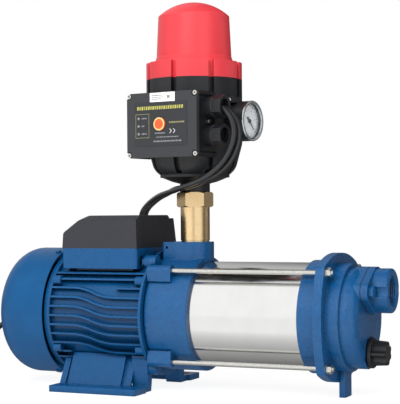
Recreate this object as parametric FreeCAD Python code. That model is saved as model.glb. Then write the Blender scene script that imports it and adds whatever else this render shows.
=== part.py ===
import FreeCAD, Part
import math
import os

# A domestic multistage water pump with an automatic controller on its discharge port.
# Millimetres. X runs along the shaft from the motor to the suction end, Y to the rear, Z up.
# The origin is the centre of the four foot holes, on the plane that the feet stand on.

V = FreeCAD.Vector

# Clearances
running = 0.05
slide_gap = 0.3
seat_gap = 0.2

# Feet and pedestals
shaft_height = 90.0
foot_length = 115.0
foot_inner = 60.0
foot_outer = 90.5
foot_thickness = 7.2
foot_corner = 2.5
hole_spacing_x = 90.0
hole_spacing_y = 150.0
foot_hole_radius = 4.5
pedestal_back = -46.0
pedestal_length = 71.0
pedestal_wall = 11.0
pedestal_back_wall = 4.0
pedestal_foot_y = 65.0
pedestal_top_y = 49.0
pedestal_top_drop = 47.0
web_drop = 60.0
rear_web_length = 7.5
front_web_back = 34.0
front_web_length = 20.0
front_web_y = 51.0
rear_web_top_y = 47.0

# Motor housing
fins_back = -67.0
fins_length = 121.0
housing_radius = 66.0
stator_radius = 60.0
fin_tip_radius = 73.0
fin_thickness = 2.2
fin_pitch = 11.0
fin_top_level = 32.0
wavy_fins = 7
wave_back = -38.0
wave_length = 57.0
upper_fin_levels = (42.0, 49.0)
short_fin_levels = (-45.0, -52.5)
short_front_fin_back = 19.0
end_lug_radius = 6.0
end_lug_length = 10.0
end_lug_y = 57.0
end_lug_level = 40.0
motor_flange_radius = 75.5
motor_flange_length = 3.0
flange_bolt_y = 41.5
flange_bolt_level = 62.5
flange_bolt_lug = 8.0
flange_bolt_radius = 3.0
flange_bolt_pocket = 14.0

# Terminal box
box_back = -58.0
box_length = 101.0
box_half_width = 55.0
box_floor_rise = 54.5
box_seam_rise = 78.5
box_wall = 3.5
box_cavity_rise = 68.5
lid_top_rise = 117.8
lid_front_drop = 6.0
lid_front_bevel = 13.0
lid_end_bevel = 30.0
lid_end_drop = 20.8
lid_step_y = 34.0
lid_step_drop = 4.0
lid_rear_y = 49.0
lid_wall = 2.5
lid_screw_radius = 2.0
lid_screw_head = 4.0
lid_screw_inset = 6.5
capacitor_radius = 16.0
capacitor_length = 62.0
capacitor_y = 4.0
terminal_block_size = (46.0, 18.0, 14.0)
lead_gland_x = -22.0
lead_gland_rise = 67.0

# Rear endshield, fan and fan cover
endshield_thickness = 7.0
endshield_radius = 72.0
cover_pad_angle = 20.0
cover_pad_radius = 7.0
cover_radius = 77.65
cover_length = 72.0
cover_corner = 32.0
cover_wall = 1.5
cover_screw_inset = 6.0
cover_screw_radius = 2.0
cover_screw_head = 3.6
cover_screw_head_height = 2.2
grille_rings = ((9.0, 15.0), (19.0, 25.0), (29.0, 35.0), (39.0, 45.0))
grille_ribs = 6
grille_rib_width = 4.0
fan_radius = 62.0
fan_length = 26.0
fan_hub_radius = 14.0
fan_blades = 7
fan_blade_thickness = 2.0
fan_back_gap = 12.0

# Rotor
core_length = 70.0
core_back = -42.0
core_radius = 33.5
air_gap = 0.4
winding_overhang = 17.0
winding_radii = (37.0, 55.0)
core_shaft_radius = 12.0
pump_shaft_radius = 8.0
rear_bearing_radii = (8.5, 20.0)
rear_bearing_width = 12.0
front_bearing_radii = (10.0, 23.5)
front_bearing_width = 14.0
bearing_balls = 9
ball_radius = 3.0

# Discharge casing
casing_length = 55.0
casing_radius = 68.0
casing_back_fillet = 3.0
bearing_pocket_offset = 3.0
seal_wall = 16.0
seal_seat_radii = (9.5, 16.0)
seal_seat_width = 6.0
seal_head_radius = 14.5
seal_head_length = 15.0
casing_cavity_radius = 56.0
rod_offset = 53.0
rod_radius = 2.95
rod_boss_radius = 6.5
rod_boss_length = 30.0
rod_boss_web = 19.0
rod_thread_depth = 16.0
discharge_x = 94.0
discharge_boss_rise = 85.5
discharge_boss_half_width = 22.4
discharge_boss_back = 33.6
discharge_bore = 13.0
boss_hole_radius = 1.6
boss_hole_x = 27.4
boss_hole_drop = 6.5
g1_radius = 16.6
g1_depth = 17.0
g1_male_radius = 16.5
g1_chamfer = 1.2

# Pump sleeve and stages
sleeve_radius = 62.0
sleeve_wall = 1.2
sleeve_visible = 133.0
sleeve_into_casing = 8.0
sleeve_into_suction = 29.0
o_ring_section = 1.4
o_ring_inset = 4.0
stages = 4
stage_pitch = 36.0
stage_back_gap = 6.0
stage_wall = 2.0
stage_length = 34.0
impeller_radius = 49.0
impeller_width = 12.0
impeller_shroud = 1.6
impeller_eye = 19.0
impeller_hub = 13.0
impeller_vanes = 6
vane_thickness = 1.6

# Suction casing
suction_ring_radius = 65.0
suction_ring_length = 22.0
suction_flange_half = 73.4
suction_flange_side = 135.0
suction_flange_length = 10.0
rod_lug_radius = 9.0
band_radius = 61.5
band_length = 15.0
dome_radius = 57.0
dome_length = 18.5
dome_corner = 14.0
suction_wall = 5.0
leg_back_offset = -0.4
leg_length = 8.0
leg_half_width = 12.0
rod_nut_width = 10.0
rod_nut_height = 5.0
washer_radius = 6.0
washer_thickness = 1.0
rod_end = 2.0

# Suction port
port_rise = 31.0
port_pad_proud = 0.5
port_pad_depth = 15.0
port_bore = 20.0
port_gasket = 1.0
plate_thickness = 7.6
plate_round = 27.0
plate_bolt_y = 30.0
plate_bolt_end = 12.0
hub_radius = 25.2
hub_length = 18.0
seat_bore = 13.5
seat_depth = 4.0
port_bolt_radius = 4.0
port_bolt_head = 13.0
port_bolt_head_height = 5.3
port_bolt_length = 12.0
port_bolt_seat = 7.9
flap_radius = 17.4
flap_thickness = 1.4
flap_hinge_height = 17.2
flap_pin_radius = 1.0
flap_barrel_radius = 1.3
flap_pin_half_length = 12.5
flap_barrel_half_length = 6.0
flap_weight_radius = 11.0
flap_weight_thickness = 3.0
rivet_radius = 2.0
rivet_head_radius = 3.4
rivet_head_height = 1.6

# Drain plug
drain_drop = 39.5
drain_spot_depth = 1.5
drain_boss_radius = 18.5
drain_bore = 8.0
drain_plug_gap = 1.8
drain_collar_radius = 17.3
drain_collar_length = 4.5
drain_grip_radius = 14.8
drain_grip_length = 16.0
drain_flutes = 7
drain_flute_radius = 5.2
drain_flute_offset = 0.6
drain_stem_length = 11.0
drain_ring_radii = (9.5, 13.0)

# Brass nipple
nipple_radius = 17.5
nipple_length = 41.5
nipple_bore = 12.5
hex_across_flats = 38.0
hex_height = 18.0
hex_chamfer = 1.6
hex_turn = -37.0
nipple_thread = 16.0
nipple_relief = 0.7

# Controller body, in its own frame: it stands on the hexagon's top at the height 0, on the discharge
# axis, and its box faces -Y before it is turned
controller_turn = -9.0
neck_radius = 18.0
neck_length = 10.0
neck_thread = 15.0
body_radius = 57.4
cap_plane = 133.6
bowl_top = 58.0
bowl_mid = (49.0, 27.0)
bowl_step = (41.5, 20.5)
bowl_foot = (39.5, 17.5)
bowl_under = (27.5, 12.5)
groove_count = 8
groove_phase = 9.0
groove_width = 7.0
groove_depth = 7.0
chamber_radius = 34.0
chamber_floor = 31.0
chamber_roof = 91.0
valve_bore = 12.5
diaphragm_radius = 44.0
diaphragm_thickness = 1.6
diaphragm_pocket = 10.0
sense_bore = 3.0
outlet_height = 65.0
outlet_reach = 78.0
outlet_thread = 17.0
outlet_boss_radius = 21.0

# Red cap
cap_skirt_height = 20.0
cap_flare_radius = 47.8
cap_flare_height = 8.0
cap_side_radius = 44.9
cap_shoulder_radius = 42.6
cap_shoulder_z = 210.2
cap_top_z = 227.2
cap_wall = 3.0
cap_screws = 4
cap_screw_radius = 2.0
cap_screw_head = 3.4
cap_screw_circle = 52.6
cap_screw_phase = 31.5
cap_screw_sink = 7.0
cap_screw_length = 20.0

# Moving parts of the controller
poppet_radius = 15.5
poppet_thickness = 4.0
poppet_stem_radius = 4.0
poppet_stem_length = 46.0
poppet_travel = 10.0
flow_spring_radius = 8.0
flow_spring_wire = 0.7
flow_spring_turns = 6
piston_radius = 34.0
piston_thickness = 5.0
piston_stem_radius = 6.0
piston_stem_length = 40.0
piston_travel = 6.0
guide_wall = 2.5
guide_length = 26.0
pressure_spring_radius = 17.0
pressure_spring_wire = 1.6
pressure_spring_turns = 8

# Control box
box_plate_y = -69.6
plate_half_width = 49.0
plate_low = 39.5
plate_high = 115.2
plate_thickness_y = 5.6
plate_corner = 4.0
shell_inset = 1.5
shell_wall = 2.5
shell_back = -15.0
cavity_back = -41.0
plate_screw_x = 46.3
plate_screw_low = 42.8
plate_screw_high = 112.1
plate_screw_head = 2.6
plate_screw_recess = 4.0
plate_screw_radius = 1.3
screw_boss_radius = 3.2
screw_boss_back = -28.0
screw_post_radius = 3.6
screw_post_inset = 2.0
panel_x = (-37.8, 36.1)
panel_z = (52.6, 103.8)
panel_thickness = 0.4
button_x = -1.5
button_z = 78.0
button_radius = 7.6
button_travel = 2.0
button_proud = 2.2
led_x = -31.6
led_z = (85.4, 76.5, 67.4)
led_radius = 1.5
board_x = (-41.0, 41.0)
board_z = (45.5, 109.0)
board_thickness = 1.6
board_depth = 13.0
relay_span = ((14.0, 33.0), (81.0, 97.0))
supply_place = (24.0, 59.0)
terminals_span = ((-20.0, 12.0), (48.0, 58.0))
standoff_x = 36.0
standoff_z = (51.0, 103.0)

# Cable glands on the control box
gland_y = -42.0
gland_z = (97.0, 63.8)
gland_boss_radius = 12.0
gland_boss_length = 7.0
gland_ring_radius = 13.0
gland_ring_length = 2.4
gland_hex = 24.0
gland_hex_length = 11.6
gland_mouth = 9.0
gland_mouth_depth = 8.0

# Pressure gauge
gauge_y = 2.0
gauge_z = 82.0
gauge_radius = 23.5
gauge_back = 48.0
gauge_case_front = 74.0
clamp_x = (40.0, 66.0)
clamp_y = (-20.0, -2.0)
clamp_rise = (20.8, 28.0)
bezel_length = 7.0
bezel_wall = 2.6
dial_radius = 20.6
dial_thickness = 0.6
dial_depth = 6.0
lens_depth = 1.6
lens_thickness = 1.2
pointer_length = 14.0
pointer_tail = 6.0
pointer_hub_radius = 2.2
pointer_thickness = 0.5
pointer_rest = 315.0
spindle_radius = 0.8

# Leads: route points along the part's X and Y, with heights above the shaft's
motor_lead_diameter = 6.5
motor_lead_points = (
    (148.24, -54.86, 241.2),
    (154.51, -55.85, 241.2),
    (164.2, -57.6, 231.8),
    (170.4, -60.0, 219.2),
    (171.0, -61.0, 206.0),
    (167.0, -60.5, 194.2),
    (159.8, -58.5, 182.8),
    (149.1, -57.0, 172.0),
    (135.7, -54.8, 162.8),
    (119.0, -49.5, 156.2),
    (101.0, -42.3, 151.6),
    (84.0, -32.5, 147.2),
    (66.0, -19.5, 144.2),
    (48.0, -4.0, 141.2),
    (29.9, 15.0, 136.4),
    (10.5, 38.0, 130.5),
    (-8.0, 61.0, 123.0),
    (-21.0, 81.0, 111.0),
    (-27.5, 95.0, 95.0),
    (-28.0, 99.0, 80.0),
    (-25.0, 92.0, 68.5),
    (-22.0, 81.0, 67.0),
    (-22.0, 73.6, 67.0),
)
mains_lead_diameter = 7.0
mains_lead_points = (
    (149.39, -47.55, 240.8),
    (155.67, -48.54, 240.8),
    (165.8, -49.6, 231.3),
    (172.6, -51.4, 218.8),
    (174.0, -52.6, 204.4),
    (170.0, -52.0, 191.8),
    (162.6, -50.2, 179.6),
    (150.0, -48.0, 168.2),
    (133.0, -44.5, 159.6),
    (113.5, -36.5, 154.0),
    (94.0, -27.6, 150.0),
    (77.0, -18.4, 148.9),
    (56.0, 3.4, 144.2),
    (36.0, 22.9, 139.8),
    (16.9, 44.0, 134.0),
    (-2.5, 66.8, 127.5),
    (-18.0, 87.0, 117.5),
    (-20.0, 100.0, 105.0),
    (-12.0, 107.0, 90.0),
    (-4.0, 103.0, 73.0),
    (-4.0, 90.0, 57.5),
    (-16.0, 75.5, 48.5),
    (-31.0, 66.5, 46.0),
    (-48.0, 62.6, 47.6),
    (-72.0, 62.6, 52.6),
    (-98.0, 65.0, 53.0),
    (-124.0, 69.0, 46.0),
    (-150.0, 73.5, 30.0),
    (-178.0, 78.0, 10.0),
)
# The rest of the mains lead, with heights above the floor
mains_floor_points = (
    (-208.0, 81.0, 79.0),
    (-238.0, 82.0, 57.4),
    (-268.0, 82.0, 35.4),
    (-296.0, 81.0, 16.0),
    (-320.0, 80.0, 5.2),
    (-340.0, 79.7, 3.7),
    (-358.0, 79.7, 3.7),
)
coil_centre = (-372.0, 38.0)
coil_turn_radius = 38.0
coil_bundle = 15.0
coil_height = 14.8
mains_tail_route = (
    (-362.0, -3.5, 10.9),
    (-350.0, -3.6, 10.0),
    (-338.0, -3.5, 10.6),
    (-326.0, -3.1, 12.4),
    (-314.0, -3.0, 13.2),
)
plug_relief_length = 22.0
plug_relief_radius = 6.5
plug_length = 34.0
plug_half_width = 13.0
plug_pin_length = 19.0
plug_pin_radius = 2.0
plug_pin_spacing = 19.0

# Heights worked out from the shaft's
pedestal_top_z = shaft_height - pedestal_top_drop
web_height = shaft_height - web_drop
box_floor = shaft_height + box_floor_rise
box_seam = shaft_height + box_seam_rise
box_cavity_floor = shaft_height + box_cavity_rise
lid_top = shaft_height + lid_top_rise
lid_front_top = lid_top - lid_front_drop
lid_end_top = lid_top - lid_end_drop
lead_gland_z = shaft_height + lead_gland_rise
discharge_boss_top = shaft_height + discharge_boss_rise
port_height = shaft_height + port_rise
drain_height = shaft_height - drain_drop

# Stations worked out along the shaft
fins_front = fins_back + fins_length
casing_back = fins_front + motor_flange_length
casing_front = casing_back + casing_length
ring_back = casing_front + sleeve_visible
flange_back = ring_back + suction_ring_length
flange_face = flange_back + suction_flange_length
band_front = flange_face + band_length
dome_front = band_front + dome_length
pad_face = dome_front + port_pad_proud
plate_back = pad_face + port_gasket
plate_front = plate_back + plate_thickness
hub_face = plate_front + hub_length
cover_rim = fins_back - endshield_thickness
cover_back = cover_rim - cover_length
core_front = core_back + core_length
rear_bearing_front = fins_back + 1.0
rear_bearing_back = rear_bearing_front - rear_bearing_width
front_bearing_back = casing_back + bearing_pocket_offset
front_bearing_front = front_bearing_back + front_bearing_width
cavity_back_x = front_bearing_front + seal_wall
seal_face = cavity_back_x
stage_back = casing_front + stage_back_gap
stage_front = stage_back + stages * stage_pitch
nipple_top = discharge_boss_top + nipple_length
hex_top = nipple_top + hex_height
bore_ledge = flange_back + 7.0
drain_face = dome_front - drain_spot_depth
lid_front_x = box_back + box_length


def outline(corners, place):
    """A closed wire through corners (u, v) or (u, v, radius), with a tangent arc at each radius."""
    count = len(corners)
    spans = []
    for index, corner in enumerate(corners):
        here = V(corner[0], corner[1], 0)
        before = V(corners[index - 1][0], corners[index - 1][1], 0)
        after_corner = corners[(index + 1) % count]
        after = V(after_corner[0], after_corner[1], 0)
        if len(corner) < 3:
            spans.append((here, None, here))
            continue
        inward = (before - here).normalize()
        outward = (after - here).normalize()
        half = inward.getAngle(outward) / 2
        reach = corner[2] / math.tan(half)
        middle = (inward + outward).normalize()
        top = here + middle * (corner[2] / math.sin(half) - corner[2])
        spans.append((here + inward * reach, top, here + outward * reach))
    edges = []
    for index, (entry, top, leave) in enumerate(spans):
        if top is not None:
            edges.append(Part.Arc(place(entry), place(top), place(leave)).toShape())
        next_entry = spans[(index + 1) % count][0]
        if (next_entry - leave).Length > 1e-6:
            edges.append(Part.LineSegment(place(leave), place(next_entry)).toShape())
    return Part.Wire(edges)


def prism(corners, plane, low, high):
    """An outline in plane XY, XZ or YZ, extruded along the plane's normal from low to high."""
    places = {
        "XY": (lambda p: V(p.x, p.y, low), V(0, 0, high - low)),
        "XZ": (lambda p: V(p.x, low, p.y), V(0, high - low, 0)),
        "YZ": (lambda p: V(low, p.x, p.y), V(high - low, 0, 0)),
    }
    place, along = places[plane]
    return Part.Face(outline(corners, place)).extrude(along)


def turned_x(corners, y=0.0, z=shaft_height):
    """A profile of (x, radius) corners turned about a line along X."""
    face = Part.Face(outline(corners, lambda p: V(p.x, y, z + p.y)))
    return face.revolve(V(0, y, z), V(1, 0, 0), 360)


def turned_z(corners):
    """A profile of (radius, z) corners turned about the Z axis."""
    face = Part.Face(outline(corners, lambda p: V(p.x, 0, p.y)))
    return face.revolve(V(0, 0, 0), V(0, 0, 1), 360)


def rod_x(x0, x1, radius, y=0.0, z=shaft_height):
    return Part.makeCylinder(radius, x1 - x0, V(x0, y, z), V(1, 0, 0))


def ring_x(x0, x1, outer, inner, y=0.0, z=shaft_height):
    return rod_x(x0, x1, outer, y, z).cut(rod_x(x0 - 1, x1 + 1, inner, y, z))


def rod_y(y0, y1, radius, x, z):
    return Part.makeCylinder(radius, y1 - y0, V(x, y0, z), V(0, 1, 0))


def rod_z(z0, z1, radius, x=0.0, y=0.0):
    return Part.makeCylinder(radius, z1 - z0, V(x, y, z0), V(0, 0, 1))


def block(x0, x1, y0, y1, z0, z1):
    return Part.makeBox(x1 - x0, y1 - y0, z1 - z0, V(x0, y0, z0))


def hexagon(across_flats, turn=0.0):
    """Corners of a hexagon about the origin, the first one at angle turn in degrees."""
    radius = across_flats / math.sqrt(3)
    angles = [math.radians(turn + 60 * k) for k in range(6)]
    return [(radius * math.cos(a), radius * math.sin(a)) for a in angles]


def hex_x(across_flats, x0, x1, y, z, turn=30.0):
    corners = [(y + u, z + v) for u, v in hexagon(across_flats, turn)]
    return prism(corners, "YZ", x0, x1)


def fuse(shapes):
    first, *rest = shapes
    return first.multiFuse(rest).removeSplitter() if rest else first


def both_sides(shape):
    """A shape and its mirror image across the plane Y = 0."""
    return [shape, shape.mirror(V(0, 0, 0), V(0, 1, 0))]


def on_controller(shape):
    """Turns and moves a shape from the controller's own frame to its place on the pump."""
    placed = shape.copy()
    placed.rotate(V(0, 0, 0), V(0, 0, 1), controller_turn)
    placed.translate(V(discharge_x, 0, hex_top))
    return placed


def foot_plate():
    half = foot_length / 2
    r = foot_corner
    corners = [(-half, foot_inner, r), (half, foot_inner, r), (half, foot_outer, r), (-half, foot_outer, r)]
    plate = prism(corners, "XY", 0, foot_thickness)
    for side in (-1, 1):
        x = side * hole_spacing_x / 2
        plate = plate.cut(rod_z(-1, foot_thickness + 1, foot_hole_radius, x, hole_spacing_y / 2))
    return plate


def pedestal():
    """The sloping wall between a foot plate and the housing, a wall behind it and a web at each end."""
    low = foot_thickness - 1
    wall = prism([
        (pedestal_foot_y, low),
        (pedestal_top_y, pedestal_top_z),
        (pedestal_top_y - pedestal_wall, pedestal_top_z),
        (pedestal_foot_y - pedestal_wall, low),
    ], "YZ", pedestal_back, pedestal_back + pedestal_length)
    back = -foot_length / 2
    back_wall = prism([
        (foot_inner + 1, low),
        (pedestal_top_y - pedestal_wall + pedestal_back_wall, pedestal_top_z),
        (pedestal_top_y - pedestal_wall, pedestal_top_z),
        (foot_inner + 1 - pedestal_back_wall, low),
    ], "YZ", back, front_web_back + 2)
    rear_web = prism([
        (foot_inner + 4, low),
        (rear_web_top_y, web_height + 8),
        (rear_web_top_y - 16, web_height),
        (foot_inner - 9, low),
        (foot_inner - 9, 0),
        (foot_inner + 4, 0),
    ], "YZ", back, back + rear_web_length)
    front_web = prism([
        (front_web_y, 0),
        (front_web_y, web_height + 12),
        (front_web_y - 16, web_height + 6),
        (front_web_y - 10, 0),
    ], "YZ", front_web_back, front_web_back + front_web_length)
    web_foot = block(front_web_back, front_web_back + front_web_length,
                     front_web_y - 10, foot_inner + 2, 0, foot_thickness)
    return [wall, back_wall, rear_web, front_web, web_foot]


def wave_edges(z_back, z_front, x0, x1):
    """Edges of one side of a fin: straight, two tangent arcs that change level, straight."""
    drop = z_back - z_front
    radius = (wave_length ** 2 + drop ** 2) / (4 * drop)
    quarter = math.atan2(drop, wave_length)
    mid_x = wave_back + wave_length / 2
    mid_z = (z_back + z_front) / 2
    ahead = radius * math.sin(quarter)
    down = radius * (1 - math.cos(quarter))
    end_x = wave_back + wave_length
    y = 0

    def at(x, z):
        return V(x, y, z)

    return [
        Part.LineSegment(at(x0, z_back), at(wave_back, z_back)).toShape(),
        Part.Arc(at(wave_back, z_back), at(wave_back + ahead, z_back - down), at(mid_x, mid_z)).toShape(),
        Part.Arc(at(mid_x, mid_z), at(end_x - ahead, z_front + down), at(end_x, z_front)).toShape(),
        Part.LineSegment(at(end_x, z_front), at(x1, z_front)).toShape(),
    ]


def wavy_fin(level):
    """A fin that steps down one pitch along the housing, as a plate from the axis outward."""
    half = fin_thickness / 2
    top = shaft_height + level + half
    upper = wave_edges(top, top - fin_pitch, fins_back, fins_front)
    low = top - fin_thickness
    lower = wave_edges(low, low - fin_pitch, fins_back, fins_front)
    ends = [
        Part.LineSegment(V(fins_back, 0, top), V(fins_back, 0, low)).toShape(),
        Part.LineSegment(V(fins_front, 0, top - fin_pitch), V(fins_front, 0, low - fin_pitch)).toShape(),
    ]
    wire = Part.Wire(Part.__sortEdges__(upper + lower + ends))
    return Part.Face(wire).extrude(V(0, fin_tip_radius + 2, 0))


def straight_fin(level, x0, x1):
    z = shaft_height + level
    half = fin_thickness / 2
    return block(x0, x1, 0, fin_tip_radius + 2, z - half, z + half)


def fins():
    rows = [wavy_fin(fin_top_level - k * fin_pitch) for k in range(wavy_fins)]
    rows += [straight_fin(level, fins_back, fins_front) for level in upper_fin_levels]
    rows += [straight_fin(level, fins_back, pedestal_back + 1) for level in short_fin_levels]
    rows.append(straight_fin(fin_top_level, short_front_fin_back, fins_front))
    rows.append(straight_fin(short_fin_levels[1], front_web_back, fins_front))
    envelope = ring_x(fins_back, fins_front, fin_tip_radius, housing_radius - 1.5)
    trimmed = [row.common(envelope) for row in rows]
    return [side for fin in trimmed for side in both_sides(fin)]


def end_lugs():
    lugs = []
    for level in (-end_lug_level, end_lug_level):
        z = shaft_height + level
        for x0 in (fins_back, fins_front - end_lug_length):
            lugs += both_sides(rod_x(x0, x0 + end_lug_length, end_lug_radius, end_lug_y, z))
    return lugs


def flange_bolt_places():
    return [(y, shaft_height + level)
            for y in (-flange_bolt_y, flange_bolt_y)
            for level in (-flange_bolt_level, flange_bolt_level)]


def terminal_base():
    """The open tray that is cast on top of the housing."""
    r = 3.0
    half = box_half_width
    corners = [(box_back, -half, r), (lid_front_x, -half, r), (lid_front_x, half, r), (box_back, half, r)]
    tray = prism(corners, "XY", box_floor, box_seam)
    neck = block(box_back + 12, lid_front_x - 12, -half + 14, half - 14, shaft_height, box_floor + 1)
    return [tray, neck]


def terminal_cavity():
    w = box_wall
    return block(box_back + w, lid_front_x - w, -box_half_width + w, box_half_width - w,
                 box_cavity_floor, box_seam + 1)


def lid_screw_places():
    inset = lid_screw_inset
    return [(x, y) for x in (box_back + lid_end_bevel + inset, lid_front_x - inset)
            for y in (-box_half_width + lid_front_bevel + inset, lid_step_y - inset)]


def motor_housing():
    tube = rod_x(fins_back, casing_back, housing_radius)
    flange = rod_x(fins_front, casing_back, motor_flange_radius)
    lugs = [rod_x(fins_front - 4, casing_back, flange_bolt_lug, y, z) for y, z in flange_bolt_places()]
    feet = [side for shape in [foot_plate(), *pedestal()] for side in both_sides(shape)]
    posts = [rod_z(box_cavity_floor - 2, box_seam, 4.5, x, y) for x, y in lid_screw_places()]
    solid = fuse([tube, flange, *lugs, *feet, *terminal_base(), *end_lugs(), *fins()])
    solid = solid.cut(terminal_cavity())
    solid = fuse([solid, *posts])
    solid = solid.cut(rod_x(fins_back - 1, casing_back + 1, stator_radius))
    wire_hole = rod_z(shaft_height + stator_radius - 5, box_cavity_floor + 1, 8, box_back + 22, 0)
    gland_hole = rod_y(box_half_width - box_wall - 1, box_half_width + 1, 6, lead_gland_x, lead_gland_z + 5)
    solid = solid.cut(wire_hole).cut(gland_hole)
    for x, y in lid_screw_places():
        solid = solid.cut(rod_z(box_seam - 9, box_seam + 1, lid_screw_radius, x, y))
    for y, z in flange_bolt_places():
        solid = solid.cut(rod_x(fins_front - 5, casing_back + 1, flange_bolt_radius, y, z))
        solid = solid.cut(rod_x(fins_front - flange_bolt_pocket, fins_front - 4, flange_bolt_lug - 1, y, z))
    return solid


def cover_screw_angles():
    return [math.radians(90 + side * cover_pad_angle + turn) for turn in (0, 180) for side in (-1, 1)]


def radial_rod(x, angle, r0, r1, radius):
    """A pin that stands out from the shaft axis at an angle in the YZ plane."""
    outward = V(0, math.cos(angle), math.sin(angle))
    start = V(x, 0, shaft_height) + outward * r0
    return Part.makeCylinder(radius, r1 - r0, start, outward)


def rear_endshield():
    x0, x1 = cover_rim, fins_back
    plate = rod_x(x0, x1, endshield_radius)
    hub = rod_x(rear_bearing_back - 3, x1, rear_bearing_radii[1] + 6)
    spigot = ring_x(x1, x1 + 5, stator_radius, stator_radius - 5)
    pads = [radial_rod(x0 - cover_screw_inset, angle, 60, cover_radius - cover_wall, cover_pad_radius)
            for angle in cover_screw_angles()]
    bridge = [rod_x(x0 - cover_screw_inset, x0 + 1, cover_pad_radius - 1,
                    64 * math.cos(angle), shaft_height + 64 * math.sin(angle))
              for angle in cover_screw_angles()]
    envelope = rod_x(x0 - 20, x1 + 6, cover_radius - cover_wall - seat_gap)
    solid = fuse([plate, hub, spigot, *pads, *bridge]).common(envelope)
    solid = solid.cut(rod_x(rear_bearing_back, x1 + 1, rear_bearing_radii[1]))
    solid = solid.cut(rod_x(rear_bearing_back - 4, x1, rear_bearing_radii[0] + 1.5))
    for angle in cover_screw_angles():
        screw = radial_rod(x0 - cover_screw_inset, angle, cover_radius - 12, cover_radius, cover_screw_radius)
        solid = solid.cut(screw)
    return solid


def fan_cover():
    w = cover_wall
    outer = turned_x([
        (cover_rim, 0), (cover_rim, cover_radius),
        (cover_back, cover_radius, cover_corner), (cover_back, 0),
    ])
    inner = turned_x([
        (cover_rim + 1, 0), (cover_rim + 1, cover_radius - w),
        (cover_back + w, cover_radius - w, cover_corner - w), (cover_back + w, 0),
    ])
    shell = outer.cut(inner)
    for ring_inner, ring_outer in grille_rings:
        slots = ring_x(cover_back - 1, cover_back + w + 4, ring_outer, ring_inner)
        for k in range(grille_ribs):
            rib = block(cover_back - 2, cover_back + w + 5, 0, ring_outer + 2,
                        shaft_height - grille_rib_width / 2, shaft_height + grille_rib_width / 2)
            rib.rotate(V(0, 0, shaft_height), V(1, 0, 0), 360 / grille_ribs * k)
            slots = slots.cut(rib)
        shell = shell.cut(slots)
    for angle in cover_screw_angles():
        x = cover_rim - cover_screw_inset
        shell = shell.cut(radial_rod(x, angle, cover_radius - 6, cover_radius + 2, cover_screw_radius))
    return shell


def fan_cover_screws():
    x = cover_rim - cover_screw_inset
    screws = []
    for angle in cover_screw_angles():
        shank = radial_rod(x, angle, cover_radius - 11.5, cover_radius, cover_screw_radius)
        head = radial_rod(x, angle, cover_radius, cover_radius + cover_screw_head_height, cover_screw_head)
        screws.append(fuse([shank, head]))
    return Part.makeCompound(screws)


def fan_stations():
    back = cover_back + fan_back_gap
    return back, back + fan_length


def cooling_fan():
    back, front = fan_stations()
    hub = rod_x(back, front, fan_hub_radius)
    disc = rod_x(front - 2.5, front, fan_radius - 4)
    blades = []
    for k in range(fan_blades):
        blade = block(back + 3, front, fan_hub_radius - 1, fan_radius,
                      shaft_height - fan_blade_thickness / 2, shaft_height + fan_blade_thickness / 2)
        blade.rotate(V(0, 0, shaft_height), V(1, 0, 0), 360 / fan_blades * k)
        blades.append(blade)
    return fuse([hub, disc, *blades]).cut(rod_x(back - 1, front + 1, rear_bearing_radii[0] - 1.5))


def shaft():
    fan_back, fan_front = fan_stations()
    fan_r = rear_bearing_radii[0] - 1.5
    end = stage_front - 6
    return turned_x([
        (fan_back + 2, 0), (fan_back + 2, fan_r), (fan_front, fan_r), (fan_front, rear_bearing_radii[0]),
        (rear_bearing_front, rear_bearing_radii[0]), (rear_bearing_front, core_shaft_radius),
        (core_front + 6, core_shaft_radius), (front_bearing_back, core_shaft_radius),
        (front_bearing_back, front_bearing_radii[0]), (front_bearing_front, front_bearing_radii[0]),
        (front_bearing_front, pump_shaft_radius), (end, pump_shaft_radius), (end, 0),
    ])


def stator_core():
    return ring_x(core_back, core_front, stator_radius, core_radius + air_gap)


def stator_windings():
    inner, outer = winding_radii
    rings = []
    for x0 in (core_back - winding_overhang, core_front):
        x1 = x0 + winding_overhang
        r = 5.0
        rings.append(turned_x([(x0, inner, r), (x1, inner, r), (x1, outer, r), (x0, outer, r)]))
    return Part.makeCompound(rings)


def rotor_core():
    return ring_x(core_back, core_front, core_radius, core_shaft_radius)


def bearing_stations():
    return (
        (rear_bearing_back, rear_bearing_front, rear_bearing_radii),
        (front_bearing_back, front_bearing_front, front_bearing_radii),
    )


def bearing_rings(outer_ones):
    rings = []
    for x0, x1, (inner, outer) in bearing_stations():
        middle = (inner + outer) / 2
        race = ball_radius + running
        if outer_ones:
            ring = ring_x(x0, x1, outer, middle + ball_radius * 0.55)
        else:
            ring = ring_x(x0, x1, middle - ball_radius * 0.55, inner)
        groove = Part.makeTorus(middle, race, V((x0 + x1) / 2, 0, shaft_height), V(1, 0, 0))
        rings.append(ring.cut(groove))
    return Part.makeCompound(rings)


def bearing_ball_sets():
    balls = []
    for x0, x1, (inner, outer) in bearing_stations():
        middle = (inner + outer) / 2
        for k in range(bearing_balls):
            angle = 2 * math.pi * k / bearing_balls
            y = middle * math.cos(angle)
            z = shaft_height + middle * math.sin(angle)
            balls.append(Part.makeSphere(ball_radius, V((x0 + x1) / 2, y, z)))
    return Part.makeCompound(balls)


def rod_places():
    return [(side_y * rod_offset, shaft_height + side_z * rod_offset)
            for side_y in (-1, 1) for side_z in (-1, 1)]


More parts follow.
